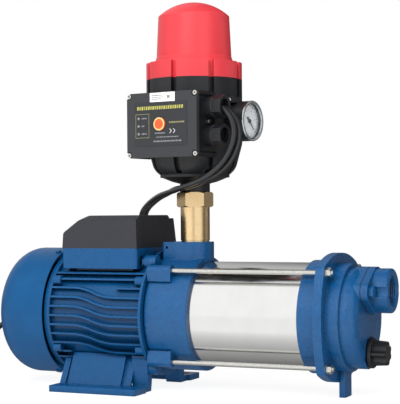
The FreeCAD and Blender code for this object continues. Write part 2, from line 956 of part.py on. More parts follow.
def casing_rod_boss(y, z):
    """A round boss for a tie rod, joined to the casing by a web that points at the shaft."""
    x0 = casing_back + 1
    x1 = x0 + rod_boss_length
    tube = rod_x(x0, x1, rod_boss_radius, y, z)
    toward_y = -math.copysign(1, y)
    toward_z = math.copysign(1, shaft_height - z)
    reach = rod_boss_web - rod_boss_radius
    corners = [
        (y + toward_y * -rod_boss_radius, z),
        (y, z - toward_z * rod_boss_radius),
        (y + toward_y * 12, z - toward_z * 2),
        (y + toward_y * 12, z + toward_z * reach),
        (y + toward_y * -rod_boss_radius + toward_y * 1.5, z + toward_z * reach),
    ]
    web = prism(corners, "YZ", x0, x1)
    return [tube, web]


def discharge_boss():
    """A U-shaped pad around the vertical outlet, longer toward the motor."""
    half = discharge_boss_half_width
    low = shaft_height + casing_cavity_radius + 3
    x0 = discharge_x - discharge_boss_back
    straight = prism([(x0, -half, 3.0), (discharge_x, -half), (discharge_x, half), (x0, half, 3.0)],
                     "XY", low, discharge_boss_top)
    return [straight, rod_z(low, discharge_boss_top, half, discharge_x, 0)]


def discharge_casing():
    shell = turned_x([
        (casing_back, 0), (casing_back, casing_radius, casing_back_fillet),
        (casing_front, casing_radius, 1.0), (casing_front, 0),
    ])
    bosses = [piece for y, z in rod_places() for piece in casing_rod_boss(y, z)]
    lugs = [rod_x(casing_back, casing_back + 7, flange_bolt_lug, y, z) for y, z in flange_bolt_places()]
    solid = fuse([shell, *bosses, *lugs, *discharge_boss()])
    cavity = turned_x([
        (cavity_back_x, 0), (cavity_back_x, casing_cavity_radius, 6.0),
        (casing_front + 1, casing_cavity_radius), (casing_front + 1, 0),
    ])
    counterbore = rod_x(casing_front - sleeve_into_casing, casing_front + 1, sleeve_radius + slide_gap / 3)
    groove_x = casing_front - o_ring_inset
    groove_outer = sleeve_radius + 2 * o_ring_section + 0.3
    groove = ring_x(groove_x - 1.6, groove_x + 1.6, groove_outer, sleeve_radius - 1)
    bearing_pocket = rod_x(casing_back - 1, front_bearing_front, front_bearing_radii[1])
    shaft_hole = rod_x(casing_back, cavity_back_x + 1, pump_shaft_radius + 1.5)
    seat_pocket = rod_x(seal_face - seal_seat_width, seal_face + 1, seal_seat_radii[1])
    outlet = rod_z(shaft_height + 30, discharge_boss_top + 1, discharge_bore, discharge_x, 0)
    thread = rod_z(discharge_boss_top - g1_depth, discharge_boss_top + 1, g1_radius, discharge_x, 0)
    hole = rod_y(-discharge_boss_half_width - 1, -discharge_boss_half_width + 8, boss_hole_radius,
                 discharge_x - boss_hole_x, discharge_boss_top - boss_hole_drop)
    beside = rod_x(casing_front, casing_front + 20, sleeve_radius + slide_gap)
    tools = (cavity, counterbore, groove, bearing_pocket, shaft_hole, seat_pocket, outlet, thread, hole,
             beside)
    for tool in tools:
        solid = solid.cut(tool)
    for y, z in rod_places():
        x1 = casing_back + 1 + rod_boss_length
        solid = solid.cut(rod_x(x1 - rod_thread_depth, x1 + 60, rod_radius, y, z))
    for y, z in flange_bolt_places():
        solid = solid.cut(rod_x(casing_back - 1, casing_back + 6, flange_bolt_radius, y, z))
    return solid


def casing_bolts():
    bolts = []
    for y, z in flange_bolt_places():
        shank = rod_x(fins_front - 4, casing_back + 6, flange_bolt_radius, y, z)
        head = hex_x(10.0, fins_front - 8, fins_front - 4, y, z)
        bolts.append(fuse([shank, head]))
    return Part.makeCompound(bolts)


def seal_seat():
    inner, outer = seal_seat_radii
    return ring_x(seal_face - seal_seat_width, seal_face, outer, inner)


def seal_head():
    r = pump_shaft_radius
    x0 = seal_face + running
    return turned_x([
        (x0, r), (x0, seal_head_radius - 2), (x0 + 4, seal_head_radius - 2), (x0 + 4, seal_head_radius),
        (x0 + seal_head_length, seal_head_radius), (x0 + seal_head_length, r),
    ])


def pump_sleeve():
    x0 = casing_front - sleeve_into_casing
    x1 = ring_back + sleeve_into_suction
    return ring_x(x0, x1, sleeve_radius, sleeve_radius - sleeve_wall)


def sleeve_o_rings():
    centre = sleeve_radius + o_ring_section + 0.1
    stations = (casing_front - o_ring_inset, ring_back + sleeve_into_suction - o_ring_inset)
    return Part.makeCompound([
        Part.makeTorus(centre, o_ring_section, V(x, 0, shaft_height), V(1, 0, 0)) for x in stations
    ])


def stage_x(index):
    return stage_back + index * stage_pitch


def stage_casings():
    """Cups that stand in a row in the sleeve, each with its diffuser wall and guide vanes."""
    cups = []
    outer = sleeve_radius - sleeve_wall - 0.1
    for k in range(stages):
        x0 = stage_x(k)
        x1 = x0 + stage_pitch
        w = stage_wall
        cup = ring_x(x0, x1, outer, outer - w)
        wall = ring_x(x0 + 14, x0 + 14 + w, outer - 1, impeller_hub + 1.0)
        vanes = []
        for n in range(impeller_vanes):
            vane = block(x0 + 2, x0 + 14 + w, impeller_hub + 6, outer - 1,
                         shaft_height - vane_thickness / 2, shaft_height + vane_thickness / 2)
            vane.rotate(V(0, 0, shaft_height), V(1, 0, 0), 360 / impeller_vanes * n)
            vanes.append(vane)
        cups.append(fuse([cup, wall, *vanes]))
    return Part.makeCompound(cups)


def impellers():
    """Closed impellers on the shaft, eyes toward the suction end."""
    wheels = []
    for k in range(stages):
        x0 = stage_x(k) + 19
        x1 = x0 + impeller_width
        t = impeller_shroud
        hub = rod_x(x0 - 2, x1 + 3, impeller_hub)
        back_shroud = rod_x(x0, x0 + t, impeller_radius)
        front_shroud = ring_x(x1 - t, x1, impeller_radius, impeller_eye)
        vanes = []
        for n in range(impeller_vanes):
            vane = block(x0, x1, impeller_hub - 1, impeller_radius,
                         shaft_height - vane_thickness / 2, shaft_height + vane_thickness / 2)
            vane.rotate(V(0, impeller_hub, shaft_height), V(1, 0, 0), -28)
            vane.rotate(V(0, 0, shaft_height), V(1, 0, 0), 360 / impeller_vanes * n)
            vanes.append(vane.common(rod_x(x0, x1, impeller_radius)))
        wheel = fuse([hub, back_shroud, front_shroud, *vanes])
        wheels.append(wheel.cut(rod_x(x0 - 4, x1 + 5, pump_shaft_radius)))
    return Part.makeCompound(wheels)


def tie_rods():
    x0 = casing_back + 1 + rod_boss_length - rod_thread_depth
    x1 = flange_face + washer_thickness + rod_nut_height + rod_end
    return Part.makeCompound([rod_x(x0, x1, rod_radius, y, z) for y, z in rod_places()])


def tie_rod_nuts():
    """A washer and a nut on each rod."""
    x0 = flange_face + washer_thickness
    x1 = x0 + rod_nut_height
    nuts = []
    for y, z in rod_places():
        nut = hex_x(rod_nut_width, x0, x1, y, z).common(
            turned_x([(x0, 0), (x0, 5.8), (x1 - 0.8, 5.8), (x1, 5.0), (x1, 0)], y, z))
        nuts.append(nut.cut(rod_x(x0 - 1, x1 + 1, rod_radius, y, z)))
        nuts.append(ring_x(flange_face, x0, washer_radius, rod_radius, y, z))
    return Part.makeCompound(nuts)


def port_outline(extra=0.0):
    """The two-bolt outline of the suction port: a round middle and a rounded end at each bolt."""
    ends = [Part.makeCylinder(plate_bolt_end + extra, 1, V(0, side * plate_bolt_y, port_height), V(1, 0, 0))
            for side in (-1, 1)]
    middle = Part.makeCylinder(plate_round + extra, 1, V(0, 0, port_height), V(1, 0, 0))
    rise = plate_round + extra
    end = plate_bolt_end + extra
    lean = math.asin((rise - end) / plate_bolt_y)
    corners = []
    for side_y, side_z in ((1, 1), (1, -1), (-1, -1), (-1, 1)):
        near = (side_y * rise * math.sin(lean), port_height + side_z * rise * math.cos(lean))
        far = (side_y * (plate_bolt_y + end * math.sin(lean)), port_height + side_z * end * math.cos(lean))
        corners += [near, far] if side_y * side_z > 0 else [far, near]
    web = prism(corners, "YZ", 0, 1)
    return fuse([middle, web, *ends])


def port_slab(x0, x1, extra=0.0):
    """The port outline as a slab between two stations."""
    slab = port_outline(extra)
    matrix = FreeCAD.Matrix()
    matrix.scale(x1 - x0, 1, 1)
    slab = slab.transformGeometry(matrix)
    slab.translate(V(x0, 0, 0))
    return slab


def suction_flange():
    """A square plate with bulging sides, its corners rounded about the tie rods."""
    plate = rod_x(flange_back, flange_face, rod_offset * math.sqrt(2) + rod_lug_radius)
    shift = suction_flange_side - suction_flange_half
    for y, z in ((shift, 0), (-shift, 0), (0, shift), (0, -shift)):
        plate = plate.common(rod_x(flange_back, flange_face, suction_flange_side, y, shaft_height + z))
    return plate


def suction_casing():
    body = turned_x([
        (ring_back, 0), (ring_back, suction_ring_radius, 1.0), (flange_face, suction_ring_radius),
        (flange_face, band_radius), (band_front, band_radius, 1.0), (band_front, dome_radius),
        (dome_front, dome_radius, dome_corner), (dome_front, 0),
    ])
    leg_x = flange_face + leg_back_offset
    r = 2.0
    half = leg_half_width
    leg = prism([(leg_x, -half, r), (leg_x + leg_length, -half, r), (leg_x + leg_length, half, r),
                 (leg_x, half, r)], "XY", 0, shaft_height - dome_radius + 12)
    pad = port_slab(pad_face - port_pad_depth, pad_face)
    drain_boss = rod_x(band_front - 4, drain_face, drain_boss_radius, 0, drain_height)
    spot_face = rod_x(drain_face, dome_front + 1, drain_boss_radius, 0, drain_height)
    solid = fuse([body, suction_flange(), leg, pad, drain_boss]).cut(spot_face)
    inner_front = dome_front - suction_wall
    cavity = turned_x([
        (bore_ledge + 3, 0), (bore_ledge + 3, dome_radius - suction_wall),
        (inner_front, dome_radius - suction_wall, dome_corner - suction_wall), (inner_front, 0),
    ])
    bore = rod_x(ring_back - 1, ring_back + sleeve_into_suction + 0.2, sleeve_radius + slide_gap / 3)
    mouth = rod_x(ring_back, bore_ledge + 4, dome_radius - suction_wall)
    groove_x = ring_back + sleeve_into_suction - o_ring_inset
    groove_outer = sleeve_radius + 2 * o_ring_section + 0.3
    groove = ring_x(groove_x - 1.6, groove_x + 1.6, groove_outer, sleeve_radius - 1)
    port = rod_x(inner_front - 12, pad_face + 1, port_bore, 0, port_height)
    drain = rod_x(inner_front - 12, drain_face + 1, drain_bore, 0, drain_height)
    for tool in (cavity, bore, mouth, groove, port, drain):
        solid = solid.cut(tool)
    for y, z in rod_places():
        solid = solid.cut(rod_x(flange_back - 1, flange_face + 1, rod_radius + 0.2, y, z))
    for side in (-1, 1):
        solid = solid.cut(rod_x(plate_back - port_bolt_length, pad_face + 1, port_bolt_radius,
                                side * plate_bolt_y, port_height))
    return solid.cut(flap_pin_slot())


def port_seal():
    slab = port_slab(pad_face, plate_back)
    slab = slab.cut(rod_x(pad_face - 1, plate_back + 1, port_bore, 0, port_height))
    for side in (-1, 1):
        y = side * plate_bolt_y
        slab = slab.cut(rod_x(pad_face - 1, plate_back + 1, port_bolt_radius, y, port_height))
    return slab.cut(flap_pin_slot())


def suction_port():
    """The two-bolt flange with its threaded hub."""
    slab = port_slab(plate_back, plate_front)
    hub = turned_x([
        (plate_front - 1, 0), (plate_front - 1, hub_radius), (hub_face, hub_radius, 2.5), (hub_face, 0),
    ], 0, port_height)
    solid = fuse([slab, hub])
    bore = turned_x([
        (plate_back - 1, 0), (plate_back - 1, seat_bore), (plate_back + seat_depth, seat_bore),
        (plate_back + seat_depth, g1_radius), (hub_face - g1_chamfer, g1_radius),
        (hub_face, g1_radius + g1_chamfer), (hub_face + 1, g1_radius + g1_chamfer + 1), (hub_face + 1, 0),
    ], 0, port_height)
    solid = solid.cut(bore)
    for side in (-1, 1):
        y = side * plate_bolt_y
        solid = solid.cut(rod_x(plate_back - 1, plate_front + 1, port_bolt_radius, y, port_height))
        solid = solid.cut(rod_x(plate_front, hub_face + 1, port_bolt_seat, y, port_height))
    return solid


def port_bolts():
    bolts = []
    for side in (-1, 1):
        y = side * plate_bolt_y
        x1 = plate_front + port_bolt_head_height
        shank = rod_x(plate_back - port_bolt_length, plate_front, port_bolt_radius, y, port_height)
        chamfered = turned_x([(plate_front, 0), (plate_front, 7.5), (x1 - 1, 7.5), (x1, 6.3), (x1, 0)],
                             y, port_height)
        head = hex_x(port_bolt_head, plate_front, x1, y, port_height).common(chamfered)
        bolts.append(fuse([shank, head]))
    return Part.makeCompound(bolts)


def flap_stations():
    front = plate_back - seat_gap
    return front - flap_thickness, front


def flap_hinge():
    """Where the flap's pin lies, as x and z."""
    back, front = flap_stations()
    return (back + front) / 2 - 0.6, port_height + flap_hinge_height


def flap_pin_slot():
    """The hole that the flap's pin lies in, half in the casing and half in the seal."""
    hinge_x, hinge_z = flap_hinge()
    reach = flap_pin_half_length + 0.5
    return rod_y(-reach, reach, flap_pin_radius + running, hinge_x, hinge_z)


def suction_flap():
    """The rubber flap that closes the port from inside, with the pin that it hangs on."""
    back, front = flap_stations()
    hinge_x, hinge_z = flap_hinge()
    disc = rod_x(back, front, flap_radius, 0, port_height)
    tab = block(back, front, -5, 5, port_height + 12, hinge_z)
    barrel = rod_y(-flap_barrel_half_length, flap_barrel_half_length, flap_barrel_radius, hinge_x, hinge_z)
    pin = rod_y(-flap_pin_half_length, flap_pin_half_length, flap_pin_radius, hinge_x, hinge_z)
    trim = rod_x(back - 3, front, port_bore - slide_gap, 0, port_height)
    flap = fuse([fuse([disc, tab, barrel]).common(trim), pin])
    return flap.cut(rod_x(back - 1, front + 1, rivet_radius, 0, port_height))


def flap_weight():
    back, front = flap_stations()
    weight = turned_x([
        (back - flap_weight_thickness, 0), (back - flap_weight_thickness, flap_weight_radius, 0.8),
        (back, flap_weight_radius), (back, rivet_radius), (front, rivet_radius), (front, rivet_head_radius),
        (front + rivet_head_height, rivet_head_radius, 1.2), (front + rivet_head_height, 0),
    ], 0, port_height)
    return weight


def drain_plug():
    x0 = drain_face + drain_plug_gap
    x1 = x0 + drain_collar_length
    x2 = x1 + drain_grip_length
    collar = turned_x([(x0, 0), (x0, drain_collar_radius, 1.0), (x1, drain_collar_radius, 1.2), (x1, 0)],
                      0, drain_height)
    grip = turned_x([(x1 - 0.5, 0), (x1 - 0.5, drain_grip_radius), (x2, drain_grip_radius - 1.2, 1.6),
                     (x2, 0)], 0, drain_height)
    for k in range(drain_flutes):
        angle = 2 * math.pi * k / drain_flutes
        reach = drain_grip_radius + drain_flute_offset
        y = reach * math.cos(angle)
        z = drain_height + reach * math.sin(angle)
        grip = grip.cut(rod_x(x1, x2 + 1, drain_flute_radius, y, z))
    stem = rod_x(x0 - drain_stem_length, x0, drain_bore - running, 0, drain_height)
    return fuse([collar, grip, stem])


def drain_plug_ring():
    inner, outer = drain_ring_radii
    middle = (inner + outer) / 2
    section = drain_plug_gap / 2 - 0.05
    x = drain_face + drain_plug_gap / 2
    return Part.makeTorus(middle, section, V(x, 0, drain_height), V(1, 0, 0))


def discharge_nipple():
    """The brass piece between the pump and the controller: sleeve below, hexagon above."""
    thread_low = discharge_boss_top - nipple_thread
    sleeve = turned_z([
        (nipple_bore, thread_low), (g1_male_radius - 1, thread_low), (g1_male_radius, thread_low + 1),
        (g1_male_radius, discharge_boss_top), (nipple_radius - nipple_relief, discharge_boss_top),
        (nipple_radius - nipple_relief, discharge_boss_top + 2), (nipple_radius, discharge_boss_top + 2),
        (nipple_radius, nipple_top), (nipple_bore, nipple_top),
    ])
    corner = hex_across_flats / math.sqrt(3)
    flat = hex_across_flats / 2
    head = prism(hexagon(hex_across_flats, hex_turn), "XY", nipple_top, hex_top)
    envelope = turned_z([
        (0, nipple_top), (flat + 0.6, nipple_top), (corner, nipple_top + hex_chamfer),
        (corner, hex_top - hex_chamfer), (flat + 0.6, hex_top), (0, hex_top),
    ])
    solid = fuse([sleeve, head.common(envelope)])
    solid = solid.cut(rod_z(nipple_top - 2, hex_top + 1, nipple_bore))
    solid = solid.cut(rod_z(hex_top - neck_thread - 1, hex_top + 1, g1_radius))
    solid.translate(V(discharge_x, 0, 0))
    return solid


def groove_core():
    """What the grooves leave of the bowl and the body: the same form, smaller by their depth."""
    d = groove_depth
    return turned_z([
        (0, bowl_foot[1]), (bowl_step[0] - d, bowl_foot[1]), (bowl_step[0] - d, bowl_step[1]),
        (bowl_mid[0] - d, bowl_mid[1], 20.0), (body_radius - d, bowl_top, 30.0),
        (body_radius - d, cap_plane + 2), (0, cap_plane + 2),
    ])


def grooves(low, high, core):
    """Slabs from the axis outward, one for each groove, without the core that they leave."""
    cutters = []
    for k in range(groove_count):
        cutter = block(0, body_radius + 2, -groove_width / 2, groove_width / 2, low, high)
        cutter.rotate(V(0, 0, 0), V(0, 0, 1), groove_phase - 90 + 360 / groove_count * k)
        cutters.append(cutter.cut(core))
    return cutters


def shell_box(inset, y0, y1):
    """A block of the control box's outline, inset all round, between two depths."""
    half = plate_half_width - shell_inset - inset
    low = plate_low + shell_inset + inset
    high = plate_high - shell_inset - inset
    r = 3.0
    return prism([(-half, low, r), (half, low, r), (half, high, r), (-half, high, r)], "XZ", y0, y1)


def plate_screw_places():
    return [(x, z) for x in (-plate_screw_x, plate_screw_x) for z in (plate_screw_low, plate_screw_high)]


def gauge_axis_rod(x0, x1, radius):
    return rod_x(x0, x1, radius, gauge_y, gauge_z)


def controller_body():
    outer = turned_z([
        (0, 0), (neck_radius, 0), (neck_radius, neck_length), bowl_under, bowl_foot,
        (bowl_step[0], bowl_foot[1]), bowl_step, (bowl_mid[0], bowl_mid[1], 20.0),
        (body_radius, bowl_top, 30.0), (body_radius, cap_plane), (0, cap_plane),
    ])
    for cutter in grooves(bowl_step[1] + 1, cap_plane + 1, groove_core()):
        outer = outer.cut(cutter)
    thread = rod_z(-neck_thread, 0, g1_male_radius)
    plate_back_y = box_plate_y + plate_thickness_y
    box_shell = shell_box(0, plate_back_y, shell_back)
    bosses = [rod_x(plate_half_width - shell_inset - 1, plate_half_width + gland_boss_length,
                    gland_boss_radius, gland_y, z) for z in gland_z]
    outlet_boss = rod_y(body_radius - 12, outlet_reach - outlet_thread, outlet_boss_radius, 0, outlet_height)
    outlet_spigot = rod_y(body_radius - 12, outlet_reach, g1_male_radius, 0, outlet_height)
    gauge_boss = gauge_axis_rod(gauge_back - 8, body_radius + 3, gauge_radius - 3)
    solid = fuse([outer, thread, box_shell, *bosses, outlet_boss, outlet_spigot, gauge_boss])
    cavity = shell_box(shell_wall, plate_back_y - 1, cavity_back)
    inset = screw_post_inset
    posts = [rod_y(plate_back_y, cavity_back, screw_post_radius, math.copysign(plate_screw_x - inset, x),
                   z + (inset if z < gauge_z else -inset)) for x, z in plate_screw_places()]
    outer_posts = [rod_y(plate_back_y, screw_boss_back, screw_boss_radius, x, z)
                   for x, z in plate_screw_places()]
    solid = fuse([solid.cut(cavity), *posts, *outer_posts])
    chamber = turned_z([
        (0, chamber_floor), (chamber_radius, chamber_floor, 4.0), (chamber_radius, chamber_roof, 4.0),
        (0, chamber_roof),
    ])
    inlet = rod_z(-neck_thread - 1, chamber_floor + 1, valve_bore)
    outlet = rod_y(0, outlet_reach + 1, valve_bore, 0, outlet_height)
    guide_outer = poppet_stem_radius + running + guide_wall
    guide = rod_z(chamber_roof - guide_length + 14, chamber_roof + 1, guide_outer)
    stem_bore = rod_z(chamber_floor, chamber_roof + 14, poppet_stem_radius + running)
    pocket = rod_z(cap_plane - diaphragm_pocket, cap_plane + 1, diaphragm_radius - 8)
    seat = rod_z(cap_plane - diaphragm_thickness, cap_plane + 1, diaphragm_radius)
    sense = rod_z(chamber_roof - 1, cap_plane, sense_bore, 18, 0)
    solid = solid.cut(chamber.cut(guide)).cut(stem_bore)
    for tool in (inlet, outlet, pocket, seat, sense):
        solid = solid.cut(tool)
    for x, z in plate_screw_places():
        solid = solid.cut(rod_y(plate_back_y - 1, plate_back_y + 10, plate_screw_radius, x, z))
    for z in gland_z:
        gland_hole = rod_x(plate_half_width - 6, plate_half_width + gland_boss_length + 1, 5.5, gland_y, z)
        solid = solid.cut(gland_hole)
    for x, y in cap_screw_places():
        solid = solid.cut(rod_z(cap_plane - cap_screw_length, cap_plane + 1, cap_screw_radius, x, y))
    gauge_seat = gauge_axis_rod(gauge_back, body_radius + 20, gauge_radius - 8)
    gauge_feed = gauge_axis_rod(10, gauge_back + 1, 2.5)
    return on_controller(solid.cut(gauge_seat).cut(gauge_feed))


def cap_screw_places():
    angles = [math.radians(cap_screw_phase + 360 / cap_screws * k) for k in range(cap_screws)]
    return [(cap_screw_circle * math.cos(a), cap_screw_circle * math.sin(a)) for a in angles]


def cap_profile(inset, foot):
    """Half the cap's section, inset all round, standing on the height foot."""
    shoulder = cap_plane + cap_skirt_height
    top = cap_top_z - inset
    rise = cap_top_z - cap_shoulder_z
    crown = (cap_shoulder_radius ** 2 + rise ** 2) / (2 * rise)
    return shoulder, top, crown - inset


def dome(inset):
    """The cap above its skirt, as a solid of revolution with a round crown."""
    shoulder, top, crown = cap_profile(inset, cap_plane)
    corner_r = cap_shoulder_radius - inset
    corner_z = top - crown + math.sqrt(crown ** 2 - corner_r ** 2)
    half = math.asin(corner_r / crown) / 2
    mid = (crown * math.sin(half), top - crown + crown * math.cos(half))
    base = cap_plane - (1 if inset else 0)
    flare = shoulder - (inset if inset else 0)
    points = [
        (0, base), (cap_flare_radius - inset, base), (cap_flare_radius - inset, flare),
        (cap_side_radius - inset, flare + cap_flare_height), (corner_r, corner_z),
    ]
    edges = [Part.LineSegment(V(a[0], 0, a[1]), V(b[0], 0, b[1])).toShape()
             for a, b in zip(points, points[1:])]
    edges.append(Part.Arc(V(corner_r, 0, corner_z), V(mid[0], 0, mid[1]), V(0, 0, top)).toShape())
    edges.append(Part.LineSegment(V(0, 0, top), V(0, 0, base)).toShape())
    return Part.Face(Part.Wire(edges)).revolve(V(0, 0, 0), V(0, 0, 1), 360)


def controller_cap():
    """The red cap: crown, flare and a grooved skirt that is screwed to the body."""
    shoulder = cap_plane + cap_skirt_height
    skirt = rod_z(cap_plane, shoulder, body_radius)
    core = rod_z(cap_plane - 2, shoulder + 2, body_radius - groove_depth)
    for cutter in grooves(cap_plane - 1, shoulder + 1, core):
        skirt = skirt.cut(cutter)
    solid = fuse([skirt, dome(0)]).cut(dome(cap_wall))
    guide_low = cap_top_z - cap_wall - guide_length
    tube = rod_z(guide_low, cap_top_z - cap_wall, piston_stem_radius + running + guide_wall)
    tube = tube.common(dome(cap_wall / 2))
    solid = fuse([solid, tube])
    solid = solid.cut(rod_z(guide_low - 1, cap_top_z - cap_wall - 2, piston_stem_radius + running))
    for x, y in cap_screw_places():
        solid = solid.cut(rod_z(cap_plane - 1, shoulder + 1, cap_screw_radius, x, y))
        solid = solid.cut(rod_z(shoulder - cap_screw_sink, shoulder + 40, cap_screw_head + 0.4, x, y))
    return on_controller(solid)


def controller_cap_screws():
    shoulder = cap_plane + cap_skirt_height
    head_low = shoulder - cap_screw_sink
    screws = []
    for x, y in cap_screw_places():
        shank = rod_z(head_low - cap_screw_length, head_low, cap_screw_radius, x, y)
        head = rod_z(head_low, head_low + 3, cap_screw_head, x, y)
        screws.append(fuse([shank, head]))
    return on_controller(Part.makeCompound(screws))


def diaphragm():
    low = cap_plane - diaphragm_thickness
    return on_controller(rod_z(low, cap_plane, diaphragm_radius))


def piston_base():
    return cap_plane + slide_gap


def pressure_piston():
    low = piston_base()
    stem_top = low + piston_thickness + piston_stem_length
    disc = turned_z([(0, low), (piston_radius, low), (piston_radius, low + piston_thickness, 1.0),
                     (0, low + piston_thickness)])
    reach = cap_top_z - cap_wall - 2 - piston_travel - 1.0
    stem = rod_z(low, min(stem_top + 30, reach), piston_stem_radius)
    return on_controller(fuse([disc, stem]))


def coil_spring(low, high, radius, wire, turns):
    """A spring about the Z axis, as closed turns at its pitch that one strut joins."""
    pitch = (high - low - 2 * wire) / turns
    rings = [Part.makeTorus(radius, wire, V(0, 0, low + wire + k * pitch)) for k in range(turns + 1)]
    strut = rod_z(low + wire, high - wire, wire * 0.7, radius, 0)
    return fuse([strut, *rings])


def pressure_spring():
    low = piston_base() + piston_thickness
    high = cap_top_z - cap_wall - crown_drop(pressure_spring_radius + pressure_spring_wire)
    spring = coil_spring(low + 0.1, high - 0.3, pressure_spring_radius, pressure_spring_wire,
                         pressure_spring_turns)
    return on_controller(spring)


def crown_drop(radius):
    """How far the inside of the crown is below its top at a radius."""
    _, _, crown = cap_profile(cap_wall, cap_plane)
    return crown - math.sqrt(crown ** 2 - radius ** 2)


def flow_poppet():
    low = chamber_floor + slide_gap
    disc = turned_z([(0, low), (poppet_radius, low), (poppet_radius, low + poppet_thickness, 1.0),
                     (0, low + poppet_thickness)])
    stem = rod_z(low, low + poppet_stem_length, poppet_stem_radius)
    return on_controller(fuse([disc, stem]))


def flow_spring():
    low = chamber_floor + slide_gap + poppet_thickness
    high = chamber_roof
    spring = coil_spring(low + 0.1, high - 0.3, flow_spring_radius, flow_spring_wire, flow_spring_turns)
    return on_controller(spring)


def control_box_plate():
    y0 = box_plate_y
    y1 = y0 + plate_thickness_y
    half = plate_half_width
    r = plate_corner
    corners = [(-half, plate_low, r), (half, plate_low, r), (half, plate_high, r), (-half, plate_high, r)]
    plate = prism(corners, "XZ", y0, y1)
    for x, z in plate_screw_places():
        plate = plate.cut(rod_y(y0 - 1, y0 + 2.6, plate_screw_recess, x, z))
        plate = plate.cut(rod_y(y0 - 1, y1 + 1, plate_screw_radius, x, z))
    plate = plate.cut(rod_y(y0 - 1, y1 + 1, button_radius + slide_gap, button_x, button_z))
    for z in led_z:
        plate = plate.cut(rod_y(y0 - 1, y1 + 1, led_radius, led_x, z))
    return on_controller(plate)


def control_box_screws():
    y0 = box_plate_y
    screws = []
    for x, z in plate_screw_places():
        head = rod_y(y0 + 0.4, y0 + 2.6, plate_screw_head, x, z)
        shank = rod_y(y0 + 2.6, y0 + plate_thickness_y + 9, plate_screw_radius, x, z)
        screws.append(fuse([head, shank]))
    return on_controller(Part.makeCompound(screws))


def label_panel():
    y1 = box_plate_y
    y0 = y1 - panel_thickness
    x0, x1 = panel_x
    z0, z1 = panel_z
    r = 2.0
    panel = prism([(x0, z0, r), (x1, z0, r), (x1, z1, r), (x0, z1, r)], "XZ", y0, y1)
    panel = panel.cut(rod_y(y0 - 1, y1 + 1, button_radius + slide_gap, button_x, button_z))
    for z in led_z:
        panel = panel.cut(rod_y(y0 - 1, y1 + 1, led_radius, led_x, z))
    return on_controller(panel)


def reset_button():
    y0 = box_plate_y - panel_thickness - button_proud
    y1 = box_plate_y + plate_thickness_y
    cap = Part.makeCylinder(button_radius, y1 - y0, V(button_x, y0, button_z), V(0, 1, 0))
    flange = rod_y(y1 + 0.3, y1 + 1.5, button_radius + 1.5, button_x, button_z)
    stem = rod_y(y1 - 0.5, y1 + 1.5, button_radius - 2, button_x, button_z)
    plunger = rod_y(y1 + 1, board_front_y() - 2 - button_travel, 2.5, button_x, button_z)
    return on_controller(fuse([cap, flange, stem, plunger]))


def board_front_y():
    return box_plate_y + plate_thickness_y + board_depth


def circuit_board():
    """The board with its switch, relay, capacitor and terminals, on the box's back wall."""
    y0 = board_front_y()
    y1 = y0 + board_thickness
    board = block(board_x[0], board_x[1], y0, y1, board_z[0], board_z[1])
    switch = block(button_x - 4, button_x + 4, y0 - 1.7, y0, button_z - 4, button_z + 4)
    relay = block(*relay_span[0], y0 - 10, y0, *relay_span[1])
    supply = rod_y(y0 - 10, y0, 5.5, *supply_place)
    terminals = block(*terminals_span[0], y0 - 9, y0, *terminals_span[1])
    standoffs = [rod_y(y1, cavity_back, 2.5, x, z) for x in (-standoff_x, standoff_x) for z in standoff_z]
    holes = [rod_y(y0 - 12, y0 + 12, plate_screw_radius + 3, x, z) for x, z in plate_screw_places()]
    solid = fuse([board, switch, relay, supply, terminals, *standoffs])
    for hole in holes:
        solid = solid.cut(hole)
    return on_controller(solid)


def status_lamps():
    y0 = box_plate_y - panel_thickness - 0.5
    lamps = [fuse([rod_y(y0, board_front_y() - 2, led_radius, led_x, z),
                   rod_y(board_front_y() - 2, board_front_y(), led_radius + 0.5, led_x, z)]) for z in led_z]
    return on_controller(Part.makeCompound(lamps))


def gland(x0, y, z, hexagon_turn):
    """A cable gland along X: round collar, then a hexagon with an open mouth."""
    x1 = x0 + gland_ring_length
    x2 = x1 + gland_hex_length
    collar = rod_x(x0, x1, gland_ring_radius, y, z)
    corner = gland_hex / math.sqrt(3)
    nut = hex_x(gland_hex, x1, x2, y, z, hexagon_turn).common(
        turned_x([(x1, 0), (x1, corner), (x2 - 1.5, corner), (x2, corner - 1.3), (x2, 0)], y, z))
    solid = fuse([collar, nut])
    return solid.cut(rod_x(x2 - gland_mouth_depth, x2 + 1, gland_mouth, y, z))


def cable_glands():
    x0 = plate_half_width + gland_boss_length
    upper, lower = gland_z
    open_gland = gland(x0, gland_y, lower, 30.0).cut(rod_x(x0 - 1, x0 + 20, 4.5, gland_y, lower))
    return on_controller(Part.makeCompound([gland(x0, gland_y, upper, 30.0), open_gland]))


def motor_lead_gland():
    """The gland where the lead enters the back of the terminal box."""
    shape = gland(0, 0, 0, 30.0)
    shape = fuse([shape, rod_x(-2, 0, gland_ring_radius - 2, 0, 0)]).cut(rod_x(-3, 30, 3.25, 0, 0))
    shape.rotate(V(0, 0, 0), V(0, 0, 1), 90)
    shape.translate(V(lead_gland_x, box_half_width + 2, lead_gland_z))
    return shape


def gauge_case():
    case = gauge_axis_rod(body_radius + 3, gauge_case_front, gauge_radius)
    shank = gauge_axis_rod(gauge_back, body_radius + 3, gauge_radius - 8)
    clamp = block(*clamp_x, gauge_y + clamp_y[0], gauge_y + clamp_y[1], gauge_z + clamp_rise[0],
                  gauge_z + clamp_rise[1])
    clamp = clamp.cut(rod_z(0, cap_plane, body_radius + slide_gap))
    pocket = gauge_axis_rod(gauge_case_front - 4, gauge_case_front + 1, gauge_radius - bezel_wall)
    feed = gauge_axis_rod(gauge_back - 1, gauge_case_front - 12, 2.5)
    spindle_bore = gauge_axis_rod(gauge_case_front - 13, gauge_case_front, spindle_radius + running)
    return on_controller(fuse([case, shank, clamp]).cut(pocket).cut(feed).cut(spindle_bore))


